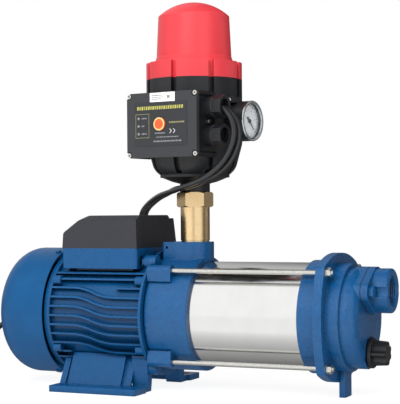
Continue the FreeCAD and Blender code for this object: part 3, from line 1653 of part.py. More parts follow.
def gauge_bezel():
    x0 = gauge_case_front
    x1 = x0 + bezel_length
    ring = turned_x([
        (x0, gauge_radius - bezel_wall), (x0, gauge_radius, 0.6), (x1, gauge_radius, 1.6),
        (x1, gauge_radius - bezel_wall - 0.6, 0.8), (x1 - lens_depth, gauge_radius - bezel_wall),
    ], gauge_y, gauge_z)
    return on_controller(ring)


def gauge_dial():
    x1 = gauge_case_front + bezel_length - dial_depth
    disc = gauge_axis_rod(x1 - dial_thickness, x1, dial_radius)
    disc = disc.cut(gauge_axis_rod(x1 - 2, x1 + 1, spindle_radius + 0.3))
    feet = ring_x(gauge_case_front - 4, x1 - dial_thickness, dial_radius - 1, dial_radius - 4,
                  gauge_y, gauge_z)
    return on_controller(fuse([disc, feet]))


def gauge_lens():
    x1 = gauge_case_front + bezel_length - lens_depth
    return on_controller(gauge_axis_rod(x1 - lens_thickness, x1, gauge_radius - bezel_wall))


def gauge_pointer():
    """The pointer on its spindle, at the zero mark at rest."""
    x0 = gauge_case_front + bezel_length - dial_depth + 0.8
    x1 = x0 + pointer_thickness
    z = gauge_z
    blade = prism([
        (gauge_y + pointer_length, z), (gauge_y - pointer_tail, z + 1.3), (gauge_y - pointer_tail, z - 1.3),
    ], "YZ", x0, x1)
    blade.rotate(V(0, gauge_y, z), V(1, 0, 0), pointer_rest)
    hub = gauge_axis_rod(x0, x1 + 0.8, pointer_hub_radius)
    spindle = gauge_axis_rod(gauge_case_front - 10, x1, spindle_radius)
    return on_controller(fuse([blade, hub, spindle]))


def terminal_lid_solid(inset):
    """The lid's outer form, or the same form inset on every side but the bottom."""
    x0 = box_back + inset
    x1 = lid_front_x - inset
    y0 = -box_half_width + inset
    y1 = box_half_width - inset
    top = lid_top - inset
    low = box_seam - (1 if inset else 0)
    side = prism([
        (x0, low), (x1, low), (x1 - 1.5, top, 2.5), (x0 + lid_end_bevel, top, 8.0),
        (x0 + 1, lid_end_top - inset, 5.0),
    ], "XZ", y0 - 5, y1 + 5)
    front = prism([
        (y0, low), (y0 + 1.0, lid_front_top - inset, 2.0), (y0 + lid_front_bevel, top, 4.0),
        (lid_step_y, top, 1.5), (lid_step_y + 3, top - lid_step_drop, 1.0),
        (lid_rear_y, top - lid_step_drop, 2.5), (y1, low),
    ], "YZ", x0 - 5, x1 + 5)
    return side.common(front)


def terminal_lid():
    shell = terminal_lid_solid(0).cut(terminal_lid_solid(lid_wall))
    for x, y in lid_screw_places():
        post = rod_z(box_seam, lid_top - 1, 4.5, x, y)
        shell = fuse([shell, post])
    for x, y in lid_screw_places():
        shell = shell.cut(rod_z(box_seam - 1, lid_top + 1, lid_screw_radius, x, y))
        shell = shell.cut(rod_z(lid_top - 3, lid_top + 3, lid_screw_head + 0.2, x, y))
    return shell


def terminal_lid_screws():
    screws = []
    for x, y in lid_screw_places():
        shank = rod_z(box_seam - 8, lid_top - 3, lid_screw_radius, x, y)
        head = rod_z(lid_top - 3, lid_top - 0.6, lid_screw_head, x, y)
        screws.append(fuse([shank, head]))
    return Part.makeCompound(screws)


def run_capacitor():
    x0 = box_back + 32
    z = box_cavity_floor + capacitor_radius + seat_gap
    r = capacitor_radius
    x1 = x0 + capacitor_length
    can = turned_x([(x0, 0), (x0, r, 2.0), (x1, r, 2.0), (x1, 0)], capacitor_y, z)
    tabs = [block(x0 - 7, x0 + 1, capacitor_y + dy - 3, capacitor_y + dy + 3, z - 0.4, z + 0.4)
            for dy in (-7, 7)]
    return fuse([can, *tabs])


def terminal_block():
    length, width, height = terminal_block_size
    x0 = box_back + 41
    y0 = -box_half_width + 14
    base = block(x0, x0 + length, y0, y0 + width, box_cavity_floor, box_cavity_floor + height)
    for k in range(4):
        x = x0 + length * (k + 0.5) / 4
        top = box_cavity_floor + height
        base = base.cut(rod_z(top - 6, top + 1, 3.2, x, y0 + width / 3))
        base = base.cut(rod_y(y0 + width - 7, y0 + width + 1, 2.2, x, box_cavity_floor + 5))
    return base


def lead_path(route, name):
    """Straight runs joined by tangent arcs, each as large as its two runs allow."""
    points = [V(*p) for p in route]
    edges = []
    last = points[0]
    tightest = None
    for before, here, after in zip(points, points[1:], points[2:]):
        inward = (before - here).normalize()
        outward = (after - here).normalize()
        half_turn = (math.pi - inward.getAngle(outward)) / 2
        shorter = min((before - here).Length, (after - here).Length)
        radius = 0.45 * shorter / math.tan(half_turn)
        tightest = radius if tightest is None else min(tightest, radius)
        entry = here + inward * (0.45 * shorter)
        leave = here + outward * (0.45 * shorter)
        middle = (inward + outward).normalize()
        top = here + middle * (radius / math.cos(half_turn) - radius)
        edges.append(Part.LineSegment(last, entry).toShape())
        edges.append(Part.Arc(entry, top, leave).toShape())
        last = leave
    edges.append(Part.LineSegment(last, points[-1]).toShape())
    print(f"{name}: length {sum(e.Length for e in edges):.1f}, tightest arc {tightest:.1f}")
    return Part.Wire(edges)


def above_shaft(points):
    return tuple((x, y, shaft_height + rise) for x, y, rise in points)


def lead(route, diameter, name):
    """A round lead along a route."""
    path = lead_path(route, name)
    start, after = V(*route[0]), V(*route[1])
    section = Part.Wire(Part.makeCircle(diameter / 2, start, after - start))
    tube = path.makePipeShell([section], True, False)
    expected = path.Length * math.pi * diameter ** 2 / 4
    print(f"{name}: volume {tube.Volume:.0f}, section times length {expected:.0f}")
    return tube


def mains_lead():
    """The mains lead as far as its coil, and the short end between the coil and the plug."""
    return Part.makeCompound([
        lead(above_shaft(mains_lead_points) + mains_floor_points, mains_lead_diameter, "mains_lead"),
        lead(mains_tail_route, mains_lead_diameter, "mains_lead's end"),
    ])


def mains_coil():
    x, y = coil_centre
    outer = rod_z(0.1, coil_height, coil_turn_radius + coil_bundle / 2, x, y)
    return outer.cut(rod_z(-1, coil_height + 1, coil_turn_radius - coil_bundle / 2, x, y))


def mains_plug():
    """A moulded plug with two round pins, lying on the floor beside the coil."""
    x0, y, z = mains_tail_route[-1]
    x1 = x0 + plug_relief_length
    x2 = x1 + plug_length
    relief = Part.makeCone(mains_lead_diameter / 2 + 0.8, plug_relief_radius, plug_relief_length,
                           V(x0, y, z), V(1, 0, 0))
    half = plug_half_width
    body = prism([(y - half, z - half, 6.0), (y + half, z - half, 6.0), (y + half, z + half, 6.0),
                  (y - half, z + half, 6.0)], "YZ", x1, x2)
    pins = [rod_x(x2, x2 + plug_pin_length, plug_pin_radius, y + side * plug_pin_spacing / 2, z)
            for side in (-1, 1)]
    return fuse([relief, body, *pins])


NODES = {
    "motor_housing": motor_housing,
    "rear_endshield": rear_endshield,
    "fan_cover": fan_cover,
    "fan_cover_screws": fan_cover_screws,
    "cooling_fan": cooling_fan,
    "motor_shaft": shaft,
    "rotor_core": rotor_core,
    "stator_core": stator_core,
    "stator_windings": stator_windings,
    "bearing_outer_rings": lambda: bearing_rings(True),
    "bearing_inner_rings": lambda: bearing_rings(False),
    "bearing_balls": bearing_ball_sets,
    "terminal_lid": terminal_lid,
    "terminal_lid_screws": terminal_lid_screws,
    "terminal_block": terminal_block,
    "run_capacitor": run_capacitor,
    "motor_lead_gland": motor_lead_gland,
    "discharge_casing": discharge_casing,
    "casing_bolts": casing_bolts,
    "seal_seat": seal_seat,
    "seal_head": seal_head,
    "stage_casings": stage_casings,
    "impellers": impellers,
    "pump_sleeve": pump_sleeve,
    "sleeve_o_rings": sleeve_o_rings,
    "tie_rods": tie_rods,
    "tie_rod_nuts": tie_rod_nuts,
    "suction_casing": suction_casing,
    "port_seal": port_seal,
    "suction_port": suction_port,
    "port_bolts": port_bolts,
    "suction_flap": suction_flap,
    "flap_weight": flap_weight,
    "drain_plug": drain_plug,
    "drain_plug_ring": drain_plug_ring,
    "discharge_nipple": discharge_nipple,
    "controller_body": controller_body,
    "controller_cap": controller_cap,
    "controller_cap_screws": controller_cap_screws,
    "diaphragm": diaphragm,
    "pressure_piston": pressure_piston,
    "pressure_spring": pressure_spring,
    "flow_poppet": flow_poppet,
    "flow_spring": flow_spring,
    "control_box_plate": control_box_plate,
    "control_box_screws": control_box_screws,
    "label_panel": label_panel,
    "reset_button": reset_button,
    "circuit_board": circuit_board,
    "status_lamps": status_lamps,
    "cable_glands": cable_glands,
    "gauge_case": gauge_case,
    "gauge_bezel": gauge_bezel,
    "gauge_dial": gauge_dial,
    "gauge_lens": gauge_lens,
    "gauge_pointer": gauge_pointer,
    "motor_lead": lambda: lead(above_shaft(motor_lead_points), motor_lead_diameter, "motor_lead"),
    "mains_lead": mains_lead,
    "mains_coil": mains_coil,
    "mains_plug": mains_plug,
}


def main():
    os.makedirs("parts", exist_ok=True)
    for name, build in NODES.items():
        shape = build()
        bad = [s for s in shape.Solids if not s.isValid()]
        print(f"{name}: {len(shape.Solids)} solids, volume {shape.Volume:.0f}" + (" INVALID" if bad else ""))
        shape.exportStep(os.path.join("parts", name + ".step"))


main()
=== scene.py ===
import enum
import logging
import random
from dataclasses import dataclass
from math import cos, inf, pi, radians, sin, sqrt

import bmesh
import bpy
from bmesh.types import BMesh
from bpy.types import ID, Material, Mesh, Node, NodeSocket as Socket, NodeTree as Tree, Object
from mathutils import Matrix, Vector


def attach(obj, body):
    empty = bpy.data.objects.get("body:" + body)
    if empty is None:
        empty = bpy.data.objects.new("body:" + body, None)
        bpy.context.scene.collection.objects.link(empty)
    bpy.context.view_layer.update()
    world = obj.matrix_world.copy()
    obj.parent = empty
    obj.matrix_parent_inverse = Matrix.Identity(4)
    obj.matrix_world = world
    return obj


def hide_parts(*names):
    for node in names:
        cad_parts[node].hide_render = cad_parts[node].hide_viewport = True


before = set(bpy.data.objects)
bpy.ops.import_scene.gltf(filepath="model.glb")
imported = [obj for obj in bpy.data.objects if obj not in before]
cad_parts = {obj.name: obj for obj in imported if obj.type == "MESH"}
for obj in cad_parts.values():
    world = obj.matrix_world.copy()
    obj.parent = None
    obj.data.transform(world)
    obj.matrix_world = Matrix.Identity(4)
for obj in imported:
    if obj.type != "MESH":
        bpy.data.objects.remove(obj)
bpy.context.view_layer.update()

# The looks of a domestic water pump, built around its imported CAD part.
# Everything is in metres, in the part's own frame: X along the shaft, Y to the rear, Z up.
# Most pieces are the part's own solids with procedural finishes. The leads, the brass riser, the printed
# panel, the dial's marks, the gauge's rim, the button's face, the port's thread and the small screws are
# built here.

log = logging.getLogger("pump")
MM = 0.001
PURE_WHITE = (1.0, 1.0, 1.0, 1.0)
Span = tuple[float, float]
Point = tuple[float, float, float]
Box = tuple[float, float, float, float]


# Colours and shader nodes
def linear(hex_colour: str) -> Box:
    """Turns an sRGB hex colour into linear light.

    Args:
        hex_colour: six hex digits, with or without a leading #.
    Returns:
        Red, green, blue and alpha, from 0 to 1.
    """
    digits = hex_colour.lstrip("#")
    parts = [int(digits[i:i + 2], 16) / 255 for i in (0, 2, 4)]
    return (*[p / 12.92 if p <= 0.04045 else ((p + 0.055) / 1.055) ** 2.4 for p in parts], 1.0)


def add(tree: Tree, kind: str, inputs: dict | None = None, **settings) -> Node:
    """Adds one shader node.

    Args:
        tree: the node tree to add to.
        kind: the node's type, without its "ShaderNode" prefix.
        inputs: socket names or numbers, each with a value or with the output socket to link.
        settings: the node's own attributes.
    Returns:
        The new node.
    """
    node = tree.nodes.new("ShaderNode" + kind)
    for name, value in settings.items():
        setattr(node, name, value)
    for name, value in (inputs or {}).items():
        if isinstance(value, Socket):
            tree.links.new(value, node.inputs[name])
        else:
            node.inputs[name].default_value = value
    return node


def ramp(tree: Tree, value: Socket, source: Span, target: Span = (0.0, 1.0), shape: str = "LINEAR") -> Socket:
    """A value moved from one span to another, and held at the ends."""
    spans = dict(zip(("From Min", "From Max", "To Min", "To Max"), (*source, *target)))
    return add(tree, "MapRange", {"Value": value, **spans}, interpolation_type=shape).outputs["Result"]


def calc(tree: Tree, operation: str, *values: Socket | float) -> Socket:
    """The result of one Math node."""
    return add(tree, "Math", dict(enumerate(values)), operation=operation).outputs[0]


def blend(tree: Tree, share: Socket, first: Socket | Box, second: Socket | Box) -> Socket:
    """Two colours mixed by a share."""
    return add(tree, "Mix", {"Factor": share, 6: first, 7: second}, data_type="RGBA").outputs[2]


def mixed(tree: Tree, share: Socket, first: Socket, second: Socket) -> Socket:
    """Two shaders mixed by a share."""
    return add(tree, "MixShader", {0: share, 1: first, 2: second}).outputs[0]


def white(tree: Tree, kind: str, strength: Socket | float) -> Socket:
    """White light: Emission for a surface, Background for the world."""
    return add(tree, kind, {"Color": PURE_WHITE, "Strength": strength}).outputs[0]


class Brush(enum.Enum):
    """The way a metal's fine working marks run, as the stretch of its noise along X, Y and Z."""

    AROUND_X = (1.0, 0.02, 0.02)
    ALONG_X = (0.02, 1.0, 1.0)
    AROUND_Z = (0.02, 0.02, 1.0)


@dataclass(frozen=True)
class Finish:
    """A real material and how it was made, as the numbers that its shader needs.

    Lengths are in mm. Grain, wave and marks each hold a size and a depth, and an edge's painted highlight
    needs its width. Swing is how far the roughness varies.
    """

    name: str
    colour: str
    second: str = ""
    mottle: float = 0.0
    mottle_share: float = 0.5
    metallic: float = 0.0
    roughness: float = 0.5
    swing: float = 0.0
    coat: float = 0.0
    coat_roughness: float = 0.1
    specular: float = 0.5
    grain: Span | None = None
    wave: Span | None = None
    brush: Brush | None = None
    marks: Span = (0.25, 0.0)
    edge_mm: float = 0.0
    edge_highlight_colour: str = ""
    subsurface: float = 0.0
    crevice_shade_mm: float = 0.0

    MOTTLE_NOISE = (0.35, 0.68)
    CLOUD_MM = 14.0
    CLOUD_NOISE = (0.3, 0.7)
    EDGE_HIGHLIGHT_TURN = (0.995, 0.86)
    EDGE_HIGHLIGHT_SHARE = (0.0, 0.75)
    CREVICE_SHADE_OPENNESS = (0.1, 0.8)
    CAVITY_SHADE = (0.35, 1.0)
    RED_BLEED = (0.004, 0.001, 0.001)

    def noise(self, tree: Tree, where: Socket, size_mm: float, detail: float = 3.0,
              roughness: float = 0.55) -> Socket:
        """A noise whose features are about size_mm across."""
        return add(tree, "TexNoise", {"Vector": where, "Scale": 1 / (size_mm * MM), "Detail": detail,
                                      "Roughness": roughness}).outputs["Fac"]

    def bumped(self, tree: Tree, height: Socket, depth_mm: float, under: Socket | None) -> Socket:
        """A bump of that depth over the normal under it."""
        inputs = {"Height": height, "Strength": 1.0, "Distance": depth_mm * MM}
        if under is not None:
            inputs["Normal"] = under
        return add(tree, "Bump", inputs).outputs["Normal"]

    def blank(self) -> tuple[Material, Tree]:
        """A new node material, named for what it is, and its tree."""
        material = bpy.data.materials.new(self.name)
        material.use_nodes = True
        return material, material.node_tree

    def build(self) -> Material:
        """Makes the material.

        Returns:
            The node-based material.
        """
        material, tree = self.blank()
        shader = tree.nodes["Principled BSDF"]
        for socket, value in {
            "Base Color": linear(self.colour), "Metallic": self.metallic, "Roughness": self.roughness,
            "Coat Weight": self.coat, "Coat Roughness": self.coat_roughness,
            "Specular IOR Level": self.specular, "Subsurface Weight": self.subsurface,
        }.items():
            shader.inputs[socket].default_value = value
        if self.subsurface:
            shader.inputs["Subsurface Radius"].default_value = self.RED_BLEED
        where = add(tree, "TexCoord").outputs["Object"]
        normal = None
        if self.edge_mm:
            normal = add(tree, "Bevel", {"Radius": self.edge_mm * MM}, samples=6).outputs["Normal"]
        self.colour_nodes(tree, shader, where, normal)
        self.roughness_nodes(tree, shader, where)
        normal = self.relief_nodes(tree, where, normal)
        if normal is not None:
            tree.links.new(normal, shader.inputs["Normal"])
        return material

    def colour_nodes(self, tree: Tree, shader: Node, where: Socket, rounded: Socket | None) -> None:
        """Mottled colour, a paler colour along the edges as painted highlight, and darker crevices as painted
        shade.
        """
        spots = self.noise(tree, where, self.mottle, 4.0, 0.6)
        share = ramp(tree, spots, self.MOTTLE_NOISE, (0.0, self.mottle_share))
        colour = blend(tree, share, linear(self.colour), linear(self.second))
        # Painted highlight: where the rounded normal turns away from the flat one, the colour goes paler
        # along the edge
        if self.edge_highlight_colour:
            flat = add(tree, "NewGeometry").outputs["Normal"]
            turn = add(tree, "VectorMath", {0: rounded, 1: flat}, operation="DOT_PRODUCT").outputs["Value"]
            edge = ramp(tree, turn, self.EDGE_HIGHLIGHT_TURN, self.EDGE_HIGHLIGHT_SHARE)
            colour = blend(tree, edge, colour, linear(self.edge_highlight_colour))
        # Painted shade: the colour is darkened where ambient occlusion finds nearby surfaces, in crevices and
        # between parts
        if self.crevice_shade_mm:
            nearby = add(tree, "AmbientOcclusion", {"Distance": self.crevice_shade_mm * MM}, samples=6)
            share = ramp(tree, nearby.outputs["AO"], self.CREVICE_SHADE_OPENNESS, self.CAVITY_SHADE)
            colour = add(tree, "VectorMath", {0: colour, "Scale": share}, operation="SCALE").outputs[0]
        tree.links.new(colour, shader.inputs["Base Color"])

    def roughness_nodes(self, tree: Tree, shader: Node, where: Socket) -> None:
        """Roughness that varies as handling and casting leave it."""
        if not self.swing:
            return
        cloud = self.noise(tree, where, self.CLOUD_MM, 4.0)
        span = (self.roughness - self.swing, self.roughness + self.swing)
        tree.links.new(ramp(tree, cloud, self.CLOUD_NOISE, span), shader.inputs["Roughness"])

    def relief_nodes(self, tree: Tree, where: Socket, normal: Socket | None) -> Socket | None:
        """Slow waves, grain and brush marks, one bump over another."""
        if self.wave:
            normal = self.bumped(tree, self.noise(tree, where, self.wave[0], 1.0), self.wave[1], normal)
        if self.grain:
            height = self.noise(tree, where, self.grain[0], 5.0, 0.62)
            normal = self.bumped(tree, height, self.grain[1], normal)
        if self.brush:
            stretched = add(tree, "Mapping", {"Vector": where, "Scale": self.brush.value}).outputs["Vector"]
            height = self.noise(tree, stretched, self.marks[0], 4.0)
            normal = self.bumped(tree, height, self.marks[1], normal)
        return normal


class ClearFinish(Finish):
    """A thin clear window: what is behind it, under a faint reflection."""

    SMEAR_MM = 6.0
    SMEAR_ROUGHNESS = 0.06
    EDGE_BLEND = 0.2
    GLOSS_SHARE = (0.02, 0.3)

    def build(self) -> Material:
        """Makes the window's material from a see-through part and a gloss that grows toward its edge."""
        material, tree = self.blank()
        tree.nodes.clear()
        where = add(tree, "TexCoord").outputs["Object"]
        smears = self.noise(tree, where, self.SMEAR_MM)
        rough = ramp(tree, smears, (0.0, 1.0), (self.roughness, self.roughness + self.SMEAR_ROUGHNESS))
        gloss = add(tree, "BsdfGlossy", {"Color": linear(self.colour), "Roughness": rough}).outputs[0]
        clear = add(tree, "BsdfTransparent", {"Color": linear(self.colour)}).outputs[0]
        edgeward = add(tree, "LayerWeight", {"Blend": self.EDGE_BLEND}).outputs["Facing"]
        share = ramp(tree, edgeward, (0.0, 1.0), self.GLOSS_SHARE)
        add(tree, "OutputMaterial", {"Surface": mixed(tree, share, clear, gloss)})
        return material


class FloorFinish(Finish):
    """The studio's white sweep: it takes the shadows near the pump and is plain white further out."""

    SCATTER = 0.22
    GLOW = 0.9
    PLAIN_FROM_M = (0.35, 0.9)
    GLINT_AT_Y_M = (0.0, -0.18)
    GLINT = (0.14, 1.08)

    def build(self) -> Material:
        """Makes the floor's material: a glow under its scattered light, and darker in reflections."""
        material, tree = self.blank()
        tree.nodes.clear()
        where = add(tree, "TexCoord").outputs["Object"]
        grain = self.noise(tree, where, self.mottle, 2.0)
        tint = blend(tree, grain, linear(self.colour), linear(self.second))
        dimmed = add(tree, "VectorMath", {0: tint, "Scale": self.SCATTER}, operation="SCALE").outputs[0]
        matt = add(tree, "BsdfDiffuse", {"Color": dimmed}).outputs[0]
        near = add(tree, "AddShader", {0: matt, 1: white(tree, "Emission", self.GLOW)}).outputs[0]
        reach = add(tree, "VectorMath", {0: where}, operation="LENGTH").outputs["Value"]
        share = ramp(tree, reach, self.PLAIN_FROM_M, shape="SMOOTHSTEP")
        seen = mixed(tree, share, near, white(tree, "Emission", 1.0))
        aside = add(tree, "SeparateXYZ", {0: where}).outputs["Y"]
        dim = white(tree, "Emission", ramp(tree, aside, self.GLINT_AT_Y_M, self.GLINT))
        gloss = add(tree, "LightPath").outputs["Is Glossy Ray"]
        add(tree, "OutputMaterial", {"Surface": mixed(tree, gloss, seen, dim)})
        return material


def ink(shade: str, colour: str, second: str) -> Finish:
    """A matt printing ink of that shade."""
    return Finish(f"{shade}_printing_ink", colour, second, mottle=0.6, grain=(0.2, 0.004))


# Sand-cast iron under blue enamel: the sand's grain shows through; its paler edges are painted highlight and
# its darker crevices painted shade
CAST = Finish("blue_enamel_on_sand_cast_iron", "#08497b", "#0b568c", mottle=5.0, mottle_share=0.6,
    roughness=0.27, swing=0.06, coat=0.15, coat_roughness=0.12, specular=0.42, grain=(1.7, 0.34),
    edge_mm=0.9, edge_highlight_colour="#2b6aa8", crevice_shade_mm=9.0)
# Die-cast aluminium under blue enamel: smoother, with the soft waves of a sprayed coat, painted highlight on
# the edges and painted shade in the crevices
DIE_CAST = Finish("blue_enamel_on_die_cast_aluminium", "#0a497a", "#0d5386", mottle=9.0, roughness=0.29,
    swing=0.05, coat=0.08, coat_roughness=0.15, specular=0.3, grain=(1.2, 0.08), edge_mm=0.7,
    edge_highlight_colour="#2868a8", crevice_shade_mm=9.0)
# Pressed sheet under the same enamel, sprayed and stoved, with painted highlight on the edges and painted
# shade in the crevices
SHEET = Finish("blue_enamel_on_pressed_sheet", "#0a4a7b", "#0d5487", mottle=22.0, roughness=0.36, swing=0.04,
    coat=0.04, coat_roughness=0.2, specular=0.22, wave=(6.0, 0.04), grain=(0.9, 0.03), edge_mm=0.5,
    edge_highlight_colour="#2868a8", crevice_shade_mm=6.0)
# Injection-moulded lid, fine spark-eroded texture
LID = Finish("dark_grey_textured_abs", "#26272d", "#2d2e34", mottle=3.0, swing=0.05, grain=(0.45, 0.03),
    edge_mm=0.6)
# Glass-filled polyamide of the controller, with a faint tooling texture
BODY = Finish("black_glass_filled_polyamide", "#131417", "#1a1b1e", mottle=2.5, roughness=0.46, swing=0.07,
    grain=(0.5, 0.03), edge_mm=0.5)
# The control box's front moulding, matt and a little lighter
PLATE = Finish("charcoal_textured_abs", "#2e2f32", "#353639", mottle=1.2, mottle_share=0.4, roughness=0.55,
    swing=0.04, grain=(0.4, 0.035), edge_mm=0.5)
FILM = Finish("grey_polyester_film", "#2a2b2e", "#303134", mottle=0.8, mottle_share=0.3, roughness=0.46,
    specular=0.4, grain=(0.3, 0.01))
# The red's paler edge colour is a painted highlight
RED = Finish("red_moulded_abs", "#d33a42", "#cb353d", mottle=20.0, roughness=0.36, swing=0.03,
    grain=(0.8, 0.006), edge_mm=0.6, edge_highlight_colour="#f0606a")
# Turned brass, straight from the lathe
BRASS = Finish("turned_brass", "#f6d9a8", "#e6c08a", mottle=12.0, metallic=1.0, roughness=0.29, swing=0.04,
    brush=Brush.AROUND_Z, marks=(0.3, 0.004), edge_mm=0.4)
# Stainless tube, centreless ground and polished
STAINLESS = Finish("polished_stainless_tube", "#e4e4e3", "#dadad9", mottle=30.0, metallic=1.0,
    roughness=0.13, swing=0.03, brush=Brush.AROUND_X, marks=(0.35, 0.004))
ZINC = Finish("bright_zinc_plate", "#d6d5d0", "#b9b8b2", mottle=3.0, metallic=1.0, roughness=0.22,
    swing=0.06, grain=(0.6, 0.01), edge_mm=0.3)
NICKEL = Finish("nickel_plate", "#e6e4de", "#c9c7c0", mottle=1.5, metallic=1.0, roughness=0.2, swing=0.05,
    grain=(0.4, 0.008), edge_mm=0.15)
CHROME = Finish("bright_chrome_plate", "#e8eaee", "#d8dade", mottle=10.0, metallic=1.0, roughness=0.08,
    swing=0.02, edge_mm=0.25)
STEEL = Finish("ground_steel", "#a8a9ab", "#97989a", mottle=8.0, metallic=1.0, roughness=0.3, swing=0.05,
    brush=Brush.AROUND_X, marks=(0.3, 0.008))
# Stacked electrical steel, seen as fine plates across the shaft
LAMINATION = Finish("stacked_electrical_steel", "#6a6c70", "#54565a", mottle=6.0, metallic=0.9,
    roughness=0.45, brush=Brush.AROUND_X, marks=(0.5, 0.08))
COPPER = Finish("enamelled_copper_wire", "#8e4a24", "#7a3a1a", mottle=2.0, metallic=0.6, roughness=0.35,
    coat=0.5, brush=Brush.ALONG_X, marks=(0.9, 0.25))
RUBBER = Finish("moulded_black_rubber", "#1b1b1c", "#232324", mottle=4.0, roughness=0.62, swing=0.06,
    grain=(0.5, 0.03), edge_mm=0.3)
# Flexible sheath of the leads, extruded, with a soft gloss
SHEATH = Finish("black_extruded_cable_sheath", "#121315", "#1a1b1e", mottle=8.0, roughness=0.42, swing=0.06,
    coat=0.5, coat_roughness=0.16, wave=(5.0, 0.08), grain=(0.5, 0.02))
GRIP = Finish("black_moulded_polypropylene", "#191a1c", "#222326", mottle=3.0, roughness=0.4, swing=0.05,
    grain=(0.4, 0.02), edge_mm=0.5)
# The glands' pale edge colour is a painted highlight
GLAND = Finish("black_moulded_polyamide", "#18191b", "#202124", mottle=3.0, roughness=0.45, swing=0.05,
    specular=0.4, grain=(0.4, 0.02), edge_mm=0.6, edge_highlight_colour="#55565a")
HYDRAULIC = Finish("glass_filled_polyphenylene", "#2a2b2d", "#333436", mottle=2.0, grain=(0.5, 0.03),
    edge_mm=0.3)
CERAMIC = Finish("sintered_ceramic", "#d9d4c6", "#cec8b8", mottle=3.0, roughness=0.3, grain=(0.3, 0.006))
WHITE = Finish("white_moulded_nylon", "#dedcd4", "#d2d0c8", mottle=4.0, roughness=0.4, grain=(0.5, 0.01),
    edge_mm=0.3, subsurface=0.05)
BOARD = Finish("green_solder_resist", "#1d5a34", "#17502c", mottle=3.0, roughness=0.3, coat=0.4,
    grain=(0.8, 0.02))
CAN = Finish("drawn_aluminium_can", "#c4c6c8", "#b4b6b8", mottle=6.0, metallic=1.0, roughness=0.3,
    brush=Brush.ALONG_X, marks=(0.3, 0.01), edge_mm=0.5)
ORANGE = Finish("orange_moulded_button", "#ef5a26", "#e65220", mottle=3.0, roughness=0.38, coat=0.2,
    grain=(0.4, 0.01), edge_mm=0.5, subsurface=0.05)
CREAM = Finish("cream_moulded_ring", "#f2c98a", "#e9bd7a", mottle=3.0, roughness=0.4, grain=(0.4, 0.01),
    edge_mm=0.2)
LENS = Finish("smoky_moulded_lamp", "#84868a", "#76787c", mottle=1.0, roughness=0.3, coat=0.2,
    grain=(0.5, 0.01))
DIAL = Finish("white_enamelled_dial", "#eef2f6", "#e6ebf0", mottle=6.0, grain=(0.3, 0.004))
# Black ink, also used as painted shade for the slots of the plate's screws
INK_AND_SLOT_SHADE = Finish("black_ink_and_painted_slot_shade", "#1a1c20", "#24262a", mottle=0.5, grain=(0.2, 0.004))
OLIVE_INK = ink("olive_yellow", "#b5b35a", "#a5a350")
DIM_INK = ink("dull_olive", "#77755a", "#6c6a50")
FAINT_INK = ink("faint_olive", "#8f8d62", "#84825a")
QUIET_INK = ink("quiet_grey", "#85868a", "#7b7c80")
PALE_INK = ink("pale_grey", "#c9cacc", "#bcbdc0")
PAPER = Finish("white_label_stock", "#f2f2f0", "#eaeae8", mottle=2.0, roughness=0.6, grain=(0.2, 0.006))
GLASS = ClearFinish("clear_gauge_window", "#ffffff", roughness=0.02)
FLOOR = FloorFinish("white_studio_sweep", "#f4f4f4", "#f0f0f0", mottle=60.0)

# Which nodes of the CAD part have each finish
FINISHED_NODES = {
    DIE_CAST: "motor_housing rear_endshield",
    SHEET: "fan_cover fan_cover_screws",
    CAST: "discharge_casing casing_bolts suction_casing suction_port port_bolts",
    LID: "terminal_lid",
    BODY: "controller_body",
    PLATE: "control_box_plate",
    FILM: "label_panel",
    RED: "controller_cap",
    BRASS: "discharge_nipple",
    STAINLESS: "pump_sleeve",
    ZINC: "terminal_lid_screws tie_rods tie_rod_nuts controller_cap_screws",
    NICKEL: "flap_weight control_box_screws",
    STEEL: "motor_shaft bearing_outer_rings bearing_inner_rings bearing_balls seal_head pressure_spring "
           "flow_spring",
    LAMINATION: "rotor_core stator_core",
    COPPER: "stator_windings",
    RUBBER: "sleeve_o_rings port_seal suction_flap drain_plug_ring diaphragm mains_plug",
    SHEATH: "motor_lead mains_lead mains_coil",
    GRIP: "motor_lead_gland drain_plug gauge_case gauge_bezel",
    GLAND: "cable_glands",
    HYDRAULIC: "cooling_fan stage_casings impellers",
    CERAMIC: "seal_seat",
    WHITE: "terminal_block pressure_piston flow_poppet",
    BOARD: "circuit_board",
    CAN: "run_capacitor",
    ORANGE: "reset_button",
    LENS: "status_lamps",
    DIAL: "gauge_dial",
    GLASS: "gauge_lens",
    INK_AND_SLOT_SHADE: "gauge_pointer",
}


class Paints:
    """Builds each finish's material once and hands it out."""

    def __init__(self) -> None:
        self.made: dict[str, Material] = {}

    def get(self, finish: Finish) -> Material:
        """The material of a finish.

        Args:
            finish: the finish to look up.
        Returns:
            Its material, the same one each time.
        """
        if finish.name not in self.made:
            self.made[finish.name] = finish.build()
        return self.made[finish.name]

    def coat_nodes(self) -> None:
        """Gives every CAD node its finish."""
        for finish, names in FINISHED_NODES.items():
            for name in names.split():
                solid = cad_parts[name]
                solid.data.materials.clear()
                solid.data.materials.append(self.get(finish))
                log.info("%s is %s", name, finish.name)


# Places and objects
def shifted(x: float, y: float, z: float) -> Matrix:
    """A move by mm."""
    return Matrix.Translation(Vector((x, y, z)) * MM)


def turned(degrees: float, axis: str) -> Matrix:
    """A turn about an axis."""
    return Matrix.Rotation(radians(degrees), 4, axis)


def linked(name: str, data: ID) -> Object:
    """A new object in the scene that shows the data."""
    thing = bpy.data.objects.new(name, data)
    bpy.context.scene.collection.objects.link(thing)
    return thing


